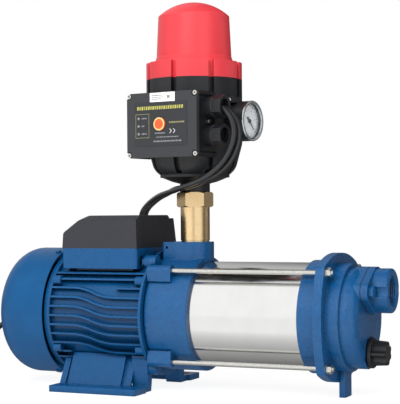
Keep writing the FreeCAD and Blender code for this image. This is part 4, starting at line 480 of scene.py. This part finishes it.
# Camera, light and floor
@dataclass(frozen=True)
class Viewpoint:
    """Where the photograph was taken from."""

    place_mm: Point = (733.9, -1396.4, 209.7)
    yaw: float = 24.4
    tilt_up: float = 0.5
    roll: float = 0.42
    lens_mm: float = 114.06
    sensor_mm: float = 36.0
    clip_m: Span = (0.05, 30.0)

    def make(self) -> None:
        """Creates the scene's camera."""
        data = bpy.data.cameras.new("camera")
        data.lens, data.sensor_width = self.lens_mm, self.sensor_mm
        data.clip_start, data.clip_end = self.clip_m
        camera = linked("camera", data)
        look = turned(self.yaw, "Z") @ turned(90 + self.tilt_up, "X") @ turned(-self.roll, "Z")
        camera.matrix_world = shifted(*self.place_mm) @ look
        bpy.context.scene.camera = camera
        log.info("camera placed")


@dataclass(frozen=True)
class Softbox:
    """A bright patch of the studio, by its bearing from the camera's side and its height, in degrees."""

    bearing: Span
    height: Span
    soft: float
    fade: float
    strength: float


class Studio:
    """A white studio: area lights for the shading, and a set of soft boxes that only reflections see."""

    key = dict(name="key", bearing=-20, height=29, distance=1.7, size=(1.0, 0.8), power=25.5)
    fill = dict(name="fill", bearing=32, height=24, distance=1.9, size=(0.7, 0.9), power=5.5)
    top = dict(name="top", bearing=10, height=82, distance=1.5, size=(1.1, 0.9), power=9.0)
    ambient = 0.32
    reflected_base = 0.04
    boxes = (
        Softbox((-96, -21), (-30, 74), 6, 16, 1.12),
        Softbox((-7, 55), (-30, 66), 5, 16, 1.0),
        Softbox((84, 117), (-10, 50), 6, 10, 0.4),
        Softbox((178, 258), (0, 62), 10, 12, 0.55),
    )
    first_bearing = -100.0
    centre = Vector((0.08, 0.0, 0.2))
    floor_half, floor_drop = 6.0, 0.0002

    def __init__(self, viewpoint: Viewpoint) -> None:
        self.yaw = radians(viewpoint.yaw)

    def toward(self, bearing: float, height: float) -> Vector:
        """The direction from the pump to a bearing and height seen from the camera's side."""
        b, h = self.yaw + radians(bearing), radians(height)
        return Vector((sin(b) * cos(h), -cos(b) * cos(h), sin(h)))

    def lamp(self, name: str, bearing: float, height: float, distance: float, size: Span,
             power: float) -> None:
        """One area light that faces the pump and stays out of reflections."""
        data = bpy.data.lights.new(name, "AREA")
        data.shape, data.size, data.size_y, data.energy = "RECTANGLE", size[0], size[1], power
        light = linked(name, data)
        direction = self.toward(bearing, height)
        light.location = self.centre + direction * distance
        light.rotation_mode = "QUATERNION"
        light.rotation_quaternion = direction.to_track_quat("Z", "Y")
        light.visible_glossy = False

    def patch(self, tree: Tree, bearing: Socket, height: Socket, box: Softbox) -> Socket:
        """The brightness of one soft box in a direction."""
        product = None
        for value, (low, high), soft in ((bearing, box.bearing, box.soft), (height, box.height, box.fade)):
            for edge, reach in ((low, soft), (high, -soft)):
                top = box.strength if product is None else 1.0
                side = ramp(tree, value, (edge - reach, edge + reach), (0.0, top), "SMOOTHSTEP")
                product = side if product is None else calc(tree, "MULTIPLY", product, side)
        return product

    def directions(self, tree: Tree) -> tuple[Socket, Socket]:
        """A direction's bearing from the camera's side, from first_bearing on, and height, in degrees."""
        where = add(tree, "TexCoord").outputs["Generated"]
        level = add(tree, "VectorRotate", {"Vector": where, "Axis": (0, 0, 1), "Angle": -self.yaw})
        parts = add(tree, "SeparateXYZ", {0: level.outputs[0]})
        near = calc(tree, "MULTIPLY", parts.outputs["Y"], -1.0)
        bearing = calc(tree, "DEGREES", calc(tree, "ARCTAN2", parts.outputs["X"], near))
        behind = calc(tree, "LESS_THAN", bearing, self.first_bearing)
        wrapped = calc(tree, "MULTIPLY_ADD", behind, 360.0, bearing)
        return wrapped, calc(tree, "DEGREES", calc(tree, "ARCSINE", parts.outputs["Z"]))

    def world(self) -> None:
        """White to the camera and through glass, soft boxes to reflections, even light to the rest."""
        world = bpy.data.worlds.new("studio")
        world.use_nodes = True
        tree = world.node_tree
        tree.nodes.clear()
        bearing, height = self.directions(tree)
        bright = self.reflected_base
        for box in self.boxes:
            bright = calc(tree, "ADD", self.patch(tree, bearing, height, box), bright)
        path = add(tree, "LightPath").outputs
        even, boxes, plain = (white(tree, "Background", s) for s in (self.ambient, bright, 1.0))
        seen = calc(tree, "MAXIMUM", path["Is Camera Ray"], path["Is Transmission Ray"])
        lit = mixed(tree, path["Is Glossy Ray"], even, boxes)
        add(tree, "OutputWorld", {"Surface": mixed(tree, seen, lit, plain)})
        bpy.context.scene.world = world

    def floor(self, paints: Paints) -> None:
        """A pale floor that the pump stands on, large enough for every view."""
        half = self.floor_half
        mesh = bpy.data.meshes.new("studio_floor")
        corners = [(half * x, half * y, -self.floor_drop) for x, y in ((-1, -1), (1, -1), (1, 1), (-1, 1))]
        mesh.from_pydata(corners, [], [(0, 1, 2, 3)])
        mesh.materials.append(paints.get(FLOOR))
        linked("studio_floor", mesh)

    def make(self, paints: Paints) -> None:
        """Sets the colour transform and builds the world, the lamps and the floor."""
        bpy.context.scene.view_settings.view_transform = "Standard"
        self.world()
        for lamp in (self.key, self.fill, self.top):
            self.lamp(**lamp)
        self.floor(paints)
        log.info("studio lit")


# Mesh helpers
Profile = list[Span]


def piece(name: str, mesh: Mesh, finish: Finish, paints: Paints, body: str,
          place: Matrix | None = None) -> Object:
    """Makes a finished piece that rides on a body.

    Args:
        name: the piece's name.
        mesh: its mesh, in metres.
        finish: its finish.
        paints: where its material comes from.
        body: the CAD body it rides on.
        place: where its own frame is in the part's frame.
    Returns:
        The new object.
    """
    mesh.materials.append(paints.get(finish))
    thing = linked(name, mesh)
    if place is not None:
        thing.matrix_world = place
    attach(thing, body)
    log.info("%s is %s on %s", name, finish.name, body)
    return thing


def mesh_of(bm: BMesh, name: str, smooth_angle: float = 35.0) -> Mesh:
    """Turns a bmesh into a mesh that is smooth except across edges sharper than an angle."""
    bmesh.ops.recalc_face_normals(bm, faces=bm.faces)
    for edge in bm.edges:
        edge.smooth = len(edge.link_faces) == 2 and edge.calc_face_angle(0) < radians(smooth_angle)
    for face in bm.faces:
        face.smooth = True
    mesh = bpy.data.meshes.new(name)
    bm.to_mesh(mesh)
    bm.free()
    return mesh


def lathe(bm: BMesh, profile: Profile, steps: int = 48, closed: bool = False,
          flats: Span | None = None) -> None:
    """Adds a solid of revolution about Z.

    Args:
        bm: the mesh to add to.
        profile: (radius, height) in mm, from axis to axis, or around the section of a ring.
        steps: the number of faces around the axis.
        closed: whether the profile is a ring's section, whose last point joins its first.
        flats: a hexagon that the solid stays inside: its width in mm and a corner's angle in degrees.
    """
    angles = [2 * pi * k / steps for k in range(steps)]
    limits = [inf] * steps
    if flats is not None:
        width, turn = flats
        angles = [t + radians(turn) for t in angles]
        limits = [width / 2 / cos(radians(360 * k / steps % 60 - 30)) for k in range(steps)]
    rings = []
    for radius, height in profile:
        if radius < 1e-6:
            rings.append([bm.verts.new((0, 0, height * MM))])
            continue
        reaches = [min(radius, limit) for limit in limits]
        rings.append([bm.verts.new(Vector((reach * cos(t), reach * sin(t), height)) * MM)
                      for t, reach in zip(angles, reaches)])
    for low, high in zip(rings, rings[1:] + rings[:1] if closed else rings[1:]):
        for k in range(steps):
            n = (k + 1) % steps
            corners = [low[k % len(low)], low[n % len(low)], high[n % len(high)], high[k % len(high)]]
            unique = list(dict.fromkeys(corners))
            if len(unique) > 2:
                bm.faces.new(unique)


def slab(bm: BMesh, outline: Profile, low: float, high: float, place: Matrix | None = None) -> None:
    """Adds a flat solid: an outline in mm in the XY plane between two heights in mm."""
    place = place or Matrix.Identity(4)
    bottom, top = ([bm.verts.new(place @ (Vector((x, y, z)) * MM)) for x, y in outline] for z in (low, high))
    bm.faces.new(bottom[::-1])
    bm.faces.new(top)
    for k in range(len(outline)):
        n = (k + 1) % len(outline)
        bm.faces.new((bottom[k], bottom[n], top[n], top[k]))


def strip(bm: BMesh, inner: Profile, outer: Profile, height: float) -> None:
    """Adds a flat band between two rows of points in mm, facing up, at a height in mm."""
    rows = [[bm.verts.new((x * MM, y * MM, height * MM)) for x, y in row] for row in (inner, outer)]
    for k in range(len(inner) - 1):
        bm.faces.new((rows[0][k], rows[1][k], rows[1][k + 1], rows[0][k + 1]))


def rounded(x0: float, x1: float, y0: float, y1: float, radius: float, steps: int = 6) -> Profile:
    """The outline of a rectangle with rounded corners, in mm."""
    points = []
    for cx, cy, start in ((x1 - radius, y1 - radius, 0), (x0 + radius, y1 - radius, 90),
                          (x0 + radius, y0 + radius, 180), (x1 - radius, y0 + radius, 270)):
        for k in range(steps + 1):
            t = radians(start + 90 * k / steps)
            points.append((cx + radius * cos(t), cy + radius * sin(t)))
    return points


# Leads
@dataclass(frozen=True)
class Lead:
    """A free cord: its route's points in mm and what is at its ends."""

    name: str
    nodes: tuple[str, ...]
    points: tuple[Point, ...]
    diameter_mm: float
    length_m: float
    far_end: str
    riders: tuple[str, ...] = ()

    def make(self, paints: Paints) -> None:
        curve = bpy.data.curves.new(self.name, "CURVE")
        curve.dimensions, curve.resolution_u, curve.bevel_resolution = "3D", 10, 5
        curve.bevel_depth, curve.use_fill_caps = self.diameter_mm / 2 * MM, True
        spline = curve.splines.new("NURBS")
        spline.points.add(len(self.points) - 1)
        for point, (x, y, z) in zip(spline.points, self.points):
            point.co = (x * MM, y * MM, z * MM, 1.0)
        spline.order_u = 3
        spline.use_endpoint_u = True
        curve.materials.append(paints.get(SHEATH))
        lead = linked(self.name, curve)
        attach(lead, "pump")
        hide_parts(*self.nodes)
        log.info("%s laid, %.2f m", self.name, self.length_m)


# From the upper gland of the control box, over the fitting and behind the terminal box to the motor's gland
MOTOR_ROUTE = (
    (148.24, -54.86, 331.2), (154.51, -55.85, 331.2), (164.2, -57.6, 321.8), (170.4, -60.0, 309.2),
    (171.0, -61.0, 296.0), (167.0, -60.5, 284.2), (159.8, -58.5, 272.8), (149.1, -57.0, 262.0),
    (135.7, -54.8, 252.8), (119.0, -49.5, 246.2), (101.0, -42.3, 241.6), (84.0, -32.5, 237.2),
    (66.0, -19.5, 234.2), (48.0, -4.0, 231.2), (29.9, 15.0, 226.4), (10.5, 38.0, 220.5),
    (-8.0, 61.0, 213.0), (-21.0, 81.0, 201.0), (-27.5, 95.0, 185.0), (-28.0, 99.0, 170.0),
    (-25.0, 92.0, 158.5), (-22.0, 81.0, 157.0), (-22.0, 73.6, 157.0),
)
# From the same gland, behind the first lead as far as the motor's back, and out to the left
MAINS_ROUTE = (
    (149.39, -47.55, 330.8), (155.67, -48.54, 330.8), (165.8, -49.6, 321.3), (172.6, -51.4, 308.8),
    (174.0, -52.6, 294.4), (170.0, -52.0, 281.8), (162.6, -50.2, 269.6), (150.0, -48.0, 258.2),
    (133.0, -44.5, 249.6), (113.5, -36.5, 244.0), (94.0, -27.6, 240.0), (77.0, -18.4, 238.9),
    (56.0, 3.4, 234.2), (36.0, 22.9, 229.8), (16.9, 44.0, 224.0), (-2.5, 66.8, 217.5), (-18.0, 87.0, 207.5),
    (-20.0, 100.0, 195.0), (-12.0, 107.0, 180.0), (-4.0, 103.0, 163.0), (-4.0, 90.0, 147.5),
    (-16.0, 75.5, 138.5), (-31.0, 66.5, 136.0), (-48.0, 62.6, 137.6), (-72.0, 62.6, 142.6),
    (-98.0, 65.0, 143.0), (-124.0, 69.0, 136.0), (-150.0, 73.5, 120.0), (-178.0, 78.0, 100.0),
    (-208.0, 81.0, 79.0), (-238.0, 82.0, 57.4), (-268.0, 82.0, 35.4), (-296.0, 81.0, 16.0),
    (-320.0, 80.0, 5.2), (-340.0, 79.7, 3.7), (-358.0, 79.7, 3.7),
)
MAINS_TAIL = (
    (-350.0, -3.6, 10.0), (-338.0, -3.5, 10.6), (-326.0, -3.1, 12.4), (-314.0, -3.0, 13.2),
)
COIL_CENTRE = (-372.0, 38.0)
COIL_RADIUS = 38.0
COIL_SPREAD = 3.5
COIL_TURNS = 3.5
COIL_STEPS = 16
COIL_JITTER = 0.25
COIL_SHIFT_SHARE = 0.25
COIL_GAP = 0.1
COIL_LAYERS = ((1, 0), (-1, 0), (-1, 1), (1, 1))
# Each lead's diameter in mm and length in m
MOTOR_LEAD = (6.5, 0.392)
MAINS_LEAD = (7.0, 1.69)


def coil_points(diameter: float) -> tuple[Point, ...]:
    """The turns of the put-away length: out and in at the bottom, then in and out on top of them."""
    rng = random.Random(7)
    grown = cos(pi / COIL_STEPS) ** -0.5
    last = len(COIL_LAYERS) - 1
    points = []
    for k in range(1, int(COIL_TURNS * COIL_STEPS)):
        turn = k / COIL_STEPS
        index = min(int(turn), last)
        side, level = COIL_LAYERS[index]
        next_side, next_level = COIL_LAYERS[min(index + 1, last)]
        share = max(0.0, (turn - index - 1 + COIL_SHIFT_SHARE) / COIL_SHIFT_SHARE)
        ease = share * share * (3 - 2 * share)
        radius = COIL_RADIUS + COIL_SPREAD * (side + (next_side - side) * ease)
        radius += rng.uniform(-COIL_JITTER, COIL_JITTER)
        raised = (diameter + 2 * COIL_GAP) * (level + (next_level - level) * ease)
        angle = pi / 2 + 2 * pi * turn
        points.append((COIL_CENTRE[0] + radius * grown * cos(angle),
                       COIL_CENTRE[1] + radius * grown * sin(angle), diameter / 2 + COIL_GAP + raised))
    return tuple(points)


def make_leads(paints: Paints) -> None:
    """Lays both leads."""
    Lead("motor_lead_flex", ("motor_lead",), MOTOR_ROUTE, *MOTOR_LEAD, "object").make(paints)
    mains = MAINS_ROUTE + coil_points(MAINS_LEAD[0]) + MAINS_TAIL
    Lead("mains_lead_flex", ("mains_lead", "mains_coil"), mains, *MAINS_LEAD, "plug",
         riders=("mains_plug",)).make(paints)


# The riser
@dataclass(frozen=True)
class RiserSizes:
    """The brass fitting between the casing and the controller, in mm in the part's frame."""

    axis_x: float = 94.0
    boss_top: float = 175.5
    tube_top: float = 217.0
    top: float = 235.0
    tube_radius: float = 17.5
    relief: float = 0.7
    relief_height: float = 2.0
    bore: float = 12.5
    thread_length: float = 16.0
    male_radius: float = 16.5
    male_chamfer: float = 1.0
    female_radius: float = 16.6
    width: float = 38.0
    turn: float = -37.0
    chamfer: float = 1.6
    chamfer_start: float = 0.6
    chamfer_steps: int = 5
    steps: int = 120

    def chamfer_rings(self, edge: float, toward: int) -> Profile:
        """Rings of the cone that rounds off the corners, from an end face at a height inward."""
        low, high = self.width / 2 + self.chamfer_start, self.width / sqrt(3)
        shares = [k / self.chamfer_steps for k in range(self.chamfer_steps + 1)]
        rings = [(low + (high - low) * s, edge + toward * self.chamfer * s) for s in shares]
        return rings if toward > 0 else rings[::-1]

    def build(self, paints: Paints) -> None:
        """Turns the tube and its chamfered hexagon as one ring's section."""
        boss, male, tube, female = self.boss_top, self.male_radius, self.tube_radius, self.female_radius
        low, neck_low = boss - self.thread_length, self.top - self.thread_length
        waist, shoulder = tube - self.relief, boss + self.relief_height
        profile = [(self.bore, low), (male - self.male_chamfer, low), (male, low + self.male_chamfer),
                   (male, boss), (waist, boss), (waist, shoulder), (tube, shoulder), (tube, self.tube_top),
                   *self.chamfer_rings(self.tube_top, 1), *self.chamfer_rings(self.top, -1),
                   (female, self.top), (female, neck_low), (self.bore, neck_low)]
        bm = bmesh.new()
        lathe(bm, profile, self.steps, closed=True, flats=(self.width, self.turn))
        riser = piece("turned_riser", mesh_of(bm, "turned_riser"), BRASS, paints, "pump",
                      shifted(self.axis_x, 0, 0))
        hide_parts("discharge_nipple")


# The controller's front
CONTROLLER_X = 94.0
CONTROLLER_TURN = -9.0
PANEL_Y = -70.0


def controller_frame() -> Matrix:
    """The controller's own frame: X toward the gauge, Y to the rear, about the riser's axis."""
    return shifted(CONTROLLER_X, 0, 0) @ turned(CONTROLLER_TURN, "Z")


def bar(x0: float, x1: float, z0: float, z1: float, lean: float = 0.0) -> Profile:
    """A bar's outline in mm, its top pushed to the right by lean."""
    return [(x0, z0), (x1, z0), (x1 + lean, z1), (x0 + lean, z1)]


def dashes(x0: float, x1: float, z: float, height: float, widths: tuple[float, ...], gap: float,
           lean: float = 0.0) -> list[Profile]:
    """A row of bars of repeating widths that fills a line."""
    bars, x, k = [], x0, 0
    while x + widths[k % len(widths)] <= x1 + 1e-6:
        width = widths[k % len(widths)]
        bars.append(bar(x, x + width, z - height / 2, z + height / 2, lean))
        x, k = x + width + gap, k + 1
    return bars


@dataclass(frozen=True)
class PanelMarks:
    """The plain marks on the control box, in mm on the panel's face.

    A row of dashes is given by its ends, its middle's height and how tall it is.
    """

    ink: Span = (-0.02, 0.1)
    title: Box = (-34.0, 32.0, 332.2, 4.0)
    title_gap: float = 1.15
    title_lean: float = 0.5
    note: Box = (11.5, 33.0, 314.6, 1.8)
    under_button: Box = (-8.5, 5.5, 302.6, 1.7)
    rules: tuple[Box, ...] = ((-6.5, 24.0, 298.0, 1.3), (-10.5, 28.5, 293.2, 1.7))
    lamp_frame: Box = (-36.3, -16.7, 297.4, 325.7)
    lamp_frame_line: float = 0.8
    lamp_labels: tuple[Box, ...] = (
        (-27.6, -18.6, 320.4, 1.6), (-27.6, -22.6, 311.5, 1.6), (-27.6, -19.6, 302.4, 1.6))
    chevron_tips: Span = (15.2, 20.2)
    chevron_z: float = 304.6
    chevron_half: float = 2.6
    chevron_depth: float = 2.6
    chevron_line: float = 1.2
    sticker: Box = (-15.8, 19.2, 338.9, 349.6)
    sticker_corner: float = 0.6
    sticker_height: Span = (-0.4, -0.25)
    sticker_ink: Span = (-0.26, -0.15)
    sticker_rules: tuple[Box, ...] = (
        (-12.5, 2.5, 346.4, 0.9), (-12.5, 5.5, 344.3, 0.9), (-12.5, 0.5, 342.2, 0.9), (9.0, 13.5, 344.4, 3.4))


@dataclass(frozen=True)
class ButtonSizes:
    """The reset button's ring, as its section's radii and heights, and its domed face, in mm."""

    x: float = -1.5
    z: float = 313.0
    ring: tuple[Span, ...] = ((5.9, 1.8), (7.6, 0.2), (7.6, 2.25), (7.3, 2.55), (6.1, 2.55), (5.9, 2.35))
    face_radius: float = 5.9
    face_seat: float = 2.0
    front: float = 2.2
    dome: float = 0.9
    dome_steps: int = 6


class ControlPanel:
    """The marks, the sticker and the button's ring on the control box.

    Its place is on the panel's face: X to the right, Y up, Z out of the panel.
    """

    def __init__(self, paints: Paints, marks: PanelMarks = PanelMarks(), button: ButtonSizes = ButtonSizes()):
        self.paints, self.marks, self.button = paints, marks, button
        self.place = controller_frame() @ shifted(0, PANEL_Y, 0) @ turned(90, "X")

    def printed(self, name: str, outlines: list[Profile], finish: Finish, heights: Span) -> None:
        """One ink's marks as thin slabs between two heights over the panel."""
        bm = bmesh.new()
        for outline in outlines:
            slab(bm, outline, *heights)
        piece(name, mesh_of(bm, name), finish, self.paints, "pump", self.place)

    def chevron(self, tip: float) -> Profile:
        """An arrowhead that points to the right."""
        m = self.marks
        back, line = tip - m.chevron_depth, m.chevron_line
        low, high = m.chevron_z - m.chevron_half, m.chevron_z + m.chevron_half
        return [(back - line, low), (back, low), (tip, m.chevron_z), (back, high), (back - line, high),
                (tip - line, m.chevron_z)]

    def frame_bars(self) -> list[Profile]:
        """The four sides of the frame around the lamps."""
        x0, x1, z0, z1 = self.marks.lamp_frame
        line = self.marks.lamp_frame_line
        return [bar(x0, x1, z0, z0 + line), bar(x0, x1, z1 - line, z1),
                bar(x0, x0 + line, z0 + line, z1 - line), bar(x1 - line, x1, z0 + line, z1 - line)]

    def build(self) -> None:
        """Makes every mark, the sticker and the button's trim."""
        m = self.marks
        title = dashes(*m.title, (2.3, 1.6, 2.6, 1.3, 2.0), m.title_gap, m.title_lean)
        quiet = dashes(*m.under_button, (1.5, 1.0, 1.9), 0.6)
        for line in m.rules:
            quiet += dashes(*line, (1.9, 1.2, 2.6, 1.5), 0.8)
        for line in m.lamp_labels:
            quiet += dashes(*line, (1.4, 1.9, 1.0), 0.5)
        sticker = rounded(*m.sticker, m.sticker_corner)
        on_sticker = [b for line in m.sticker_rules for b in dashes(*line, (1.7, 1.0, 2.2), 0.5)]
        for name, outlines, finish, heights in (
            ("title_bars", title, OLIVE_INK, m.ink),
            ("lamp_frame", self.frame_bars(), DIM_INK, m.ink),
            ("note_bars", dashes(*m.note, (1.6, 1.0, 2.0), 0.6), FAINT_INK, m.ink),
            ("pale_marks", [self.chevron(tip) for tip in m.chevron_tips], PALE_INK, m.ink),
            ("quiet_marks", quiet, QUIET_INK, m.ink),
            ("blank_sticker", [sticker], PAPER, m.sticker_height),
            ("sticker_rules", on_sticker, INK_AND_SLOT_SHADE, m.sticker_ink),
        ):
            self.printed(name, outlines, finish, heights)
        self.trim_button()

    def trim_button(self) -> None:
        """The cream ring and the domed orange face, both on the button."""
        b = self.button
        ring, face = bmesh.new(), bmesh.new()
        lathe(ring, list(b.ring), steps=56, closed=True)
        quarter = [pi / 2 * k / b.dome_steps for k in range(b.dome_steps)]
        arc = [(b.face_radius * cos(t), b.front + b.dome * sin(t)) for t in quarter]
        lathe(face, [(0, b.face_seat), (b.face_radius, b.face_seat), *arc, (0, b.front + b.dome)])
        for name, bm, finish in (("button_ring", ring, CREAM), ("button_face", face, ORANGE)):
            piece(name, mesh_of(bm, name), finish, self.paints, "button",
                  self.place @ shifted(b.x, b.z, 0))


# The gauge's dial
@dataclass(frozen=True)
class DialSizes:
    """The dial's marks and the rim's section, in mm and degrees in the dial's plane."""

    face_x: float = 75.0
    axis_y: float = 2.0
    axis_z: float = 317.0
    zero: float = 315.0
    sweep: float = 270.0
    divisions: int = 50
    major: int = 10
    outer: float = 18.9
    minor_inner: float = 17.4
    major_inner: float = 16.0
    line: float = 0.32
    ink: Span = (-0.01, 0.05)
    number_radius: float = 12.6
    number_height: float = 3.3
    number_step: int = 2
    rim: tuple[Span, ...] = ((23.4, 4.25), (23.7, 4.55), (23.7, 5.25), (23.4, 5.9), (22.8, 6.15),
                             (20.7, 6.05), (20.2, 5.65), (20.2, 4.25))


def number_mesh(digits: str, height_mm: float) -> Mesh:
    """A plain number as a flat mesh, centred on its origin."""
    curve = bpy.data.curves.new("number", "FONT")
    curve.body, curve.size = digits, height_mm * MM
    curve.align_x, curve.align_y = "CENTER", "CENTER"
    holder = bpy.data.objects.new("number", curve)
    mesh = bpy.data.meshes.new_from_object(holder)
    bpy.data.objects.remove(holder)
    return mesh


class GaugeDial:
    """Tick marks, an arc and plain numbers on the dial, and the bezel's bright rim."""

    def __init__(self, paints: Paints, sizes: DialSizes = DialSizes()):
        self.paints, self.sizes = paints, sizes
        axes = Matrix(((0, 0, 1, 0), (1, 0, 0, 0), (0, 1, 0, 0), (0, 0, 0, 1)))
        self.place = controller_frame() @ shifted(sizes.face_x, sizes.axis_y, sizes.axis_z) @ axes

    def angle(self, division: float) -> float:
        """Where a division lies, in degrees from the right, anticlockwise."""
        return self.sizes.zero + self.sizes.sweep * division / self.sizes.divisions

    def around(self, radius: float, division: float) -> Span:
        """The point at a radius and a division."""
        t = radians(self.angle(division))
        return radius * cos(t), radius * sin(t)

    def marks(self) -> None:
        """Minor and major ticks with the arc outside them."""
        s, bm = self.sizes, bmesh.new()
        divisions = range(s.divisions + 1)
        for k in divisions:
            inner, half = (s.minor_inner, s.line / 2) if k % s.major else (s.major_inner, s.line)
            slab(bm, bar(inner, s.outer, -half, half), *s.ink, turned(self.angle(k), "Z"))
        rows = [[self.around(radius, k) for k in divisions] for radius in (s.outer, s.outer + s.line)]
        strip(bm, *rows, s.ink[1])
        piece("dial_marks", mesh_of(bm, "dial_marks"), INK_AND_SLOT_SHADE, self.paints, "pump", self.place)

    def numbers(self) -> None:
        """Plain numbers at the major marks."""
        s = self.sizes
        for k in range(s.divisions // s.major + 1):
            mesh = number_mesh(str(s.number_step * k), s.number_height)
            place = self.place @ shifted(*self.around(s.number_radius, k * s.major), s.ink[1])
            piece(f"dial_number_{k}", mesh, INK_AND_SLOT_SHADE, self.paints, "pump", place)

    def rim(self) -> None:
        """The bright rolled rim in front of the bezel."""
        bm = bmesh.new()
        lathe(bm, list(self.sizes.rim), steps=72, closed=True)
        piece("bezel_rim", mesh_of(bm, "bezel_rim", 50), CHROME, self.paints, "pump", self.place)

    def build(self) -> None:
        """Makes the dial's marks and numbers, and the rim around them."""
        self.marks()
        self.numbers()
        self.rim()


# The suction port's thread
@dataclass(frozen=True)
class PortThread:
    """A pipe thread as one ridge that winds through the suction port's bore, in mm."""

    axis_z: float = 121.0
    start_x: float = 316.6
    end_x: float = 335.6
    pitch: float = 2.309
    root: float = 16.62
    crest: float = 15.55
    steps: int = 40

    def build(self, paints: Paints) -> None:
        """Winds the thread's section around the bore's axis."""
        section = ((0.0, self.root), (self.pitch * 0.5, self.crest), (self.pitch, self.root))
        bm = bmesh.new()
        rows = []
        for k in range(int((self.end_x - self.start_x) / self.pitch * self.steps) + 1):
            angle = 2 * pi * k / self.steps
            shift = self.start_x + self.pitch * (k / self.steps - 0.5)
            rows.append([bm.verts.new(Vector((shift + along, radius * cos(angle),
                                              self.axis_z + radius * sin(angle))) * MM)
                         for along, radius in section])
        for low, high in zip(rows, rows[1:]):
            for n in (0, 1):
                bm.faces.new((low[n], low[n + 1], high[n + 1], high[n]))
        piece("port_thread", mesh_of(bm, "port_thread", 20), CAST, paints, "pump")


# Small screws that the CAD part leaves plain
@dataclass(frozen=True)
class SmallScrews:
    """Where the control box's small fasteners are and how big, in mm in the controller's own frame."""

    plate_x: float = 46.3
    plate_z: Span = (277.8, 347.1)
    head_face_y: float = -69.2
    cross_arm: float = 1.75
    cross_half: float = 0.38
    cross_heights: tuple[Span, Span] = ((-0.1, 0.03), (-0.1, 0.035))
    first_turn: float = 20.0
    turn_step: float = 31.0
    side: Point = (47.4, -42.0, 315.4)
    side_radius: float = 3.2
    side_height: float = 2.2
    side_edge: float = 0.3
    clamp: Point = (61.0, -18.0, 341.4)
    clamp_profile: tuple[Span, ...] = ((0, 0), (2.3, 0), (2.3, 0.9), (1.7, 1.4), (0, 1.5))

    def fitted(self, name: str, bm: BMesh, finish: Finish, paints: Paints, spot: Point,
               axis: str = "X") -> Object:
        """A fastener at a spot, turned from facing up to facing out about an axis."""
        place = controller_frame() @ shifted(*spot) @ turned(90, axis)
        return piece(name, mesh_of(bm, name), finish, paints, "pump", place)

    def slot_shades(self, paints: Paints) -> None:
        """Dark cross marks on the four screws that hold the plate: painted shade in place of their recessed
        slots.
        """
        arm, half = self.cross_arm, self.cross_half
        arms = (bar(-arm, arm, -half, half), bar(-half, half, -arm, arm))
        for k, (x, z) in enumerate((x, z) for x in (-self.plate_x, self.plate_x) for z in self.plate_z):
            bm = bmesh.new()
            for outline, heights in zip(arms, self.cross_heights):
                slab(bm, outline, *heights, turned(self.first_turn + self.turn_step * k, "Z"))
            # Each dark cross mark is painted shade where the slot's recess would be
            self.fitted(f"painted_slot_shade_{k}", bm, INK_AND_SLOT_SHADE, paints, (x, self.head_face_y, z))

    def side_screw(self, paints: Paints) -> None:
        """The small hexagon screw between the two glands, its edges rounded."""
        bm = bmesh.new()
        corners = [radians(60 * k) for k in range(6)]
        hexagon = [(self.side_radius * cos(a), self.side_radius * sin(a)) for a in corners]
        slab(bm, hexagon, 0.0, self.side_height)
        screw = self.fitted("side_screw", bm, NICKEL, paints, self.side, "Y")
        rounding = screw.modifiers.new("edges", "BEVEL")
        rounding.width, rounding.segments, rounding.harden_normals = self.side_edge * MM, 2, True
        rounding.limit_method, rounding.angle_limit = "ANGLE", radians(35)

    def clamp_screw(self, paints: Paints) -> None:
        """The bright slotted screw on the gauge's clamp."""
        bm = bmesh.new()
        lathe(bm, list(self.clamp_profile), steps=28)
        self.fitted("clamp_screw", bm, NICKEL, paints, self.clamp)

    def build(self, paints: Paints) -> None:
        """Makes all of them."""
        self.slot_shades(paints)
        self.side_screw(paints)
        self.clamp_screw(paints)


def main() -> None:
    """Builds the scene."""
    logging.basicConfig(level=logging.INFO, format="%(message)s")
    viewpoint = Viewpoint()
    viewpoint.make()
    paints = Paints()
    make_leads(paints)
    RiserSizes().build(paints)
    paints.coat_nodes()
    ControlPanel(paints).build()
    GaugeDial(paints).build()
    PortThread().build(paints)
    SmallScrews().build(paints)
    Studio(viewpoint).make(paints)


if __name__ == "__main__":
    main()
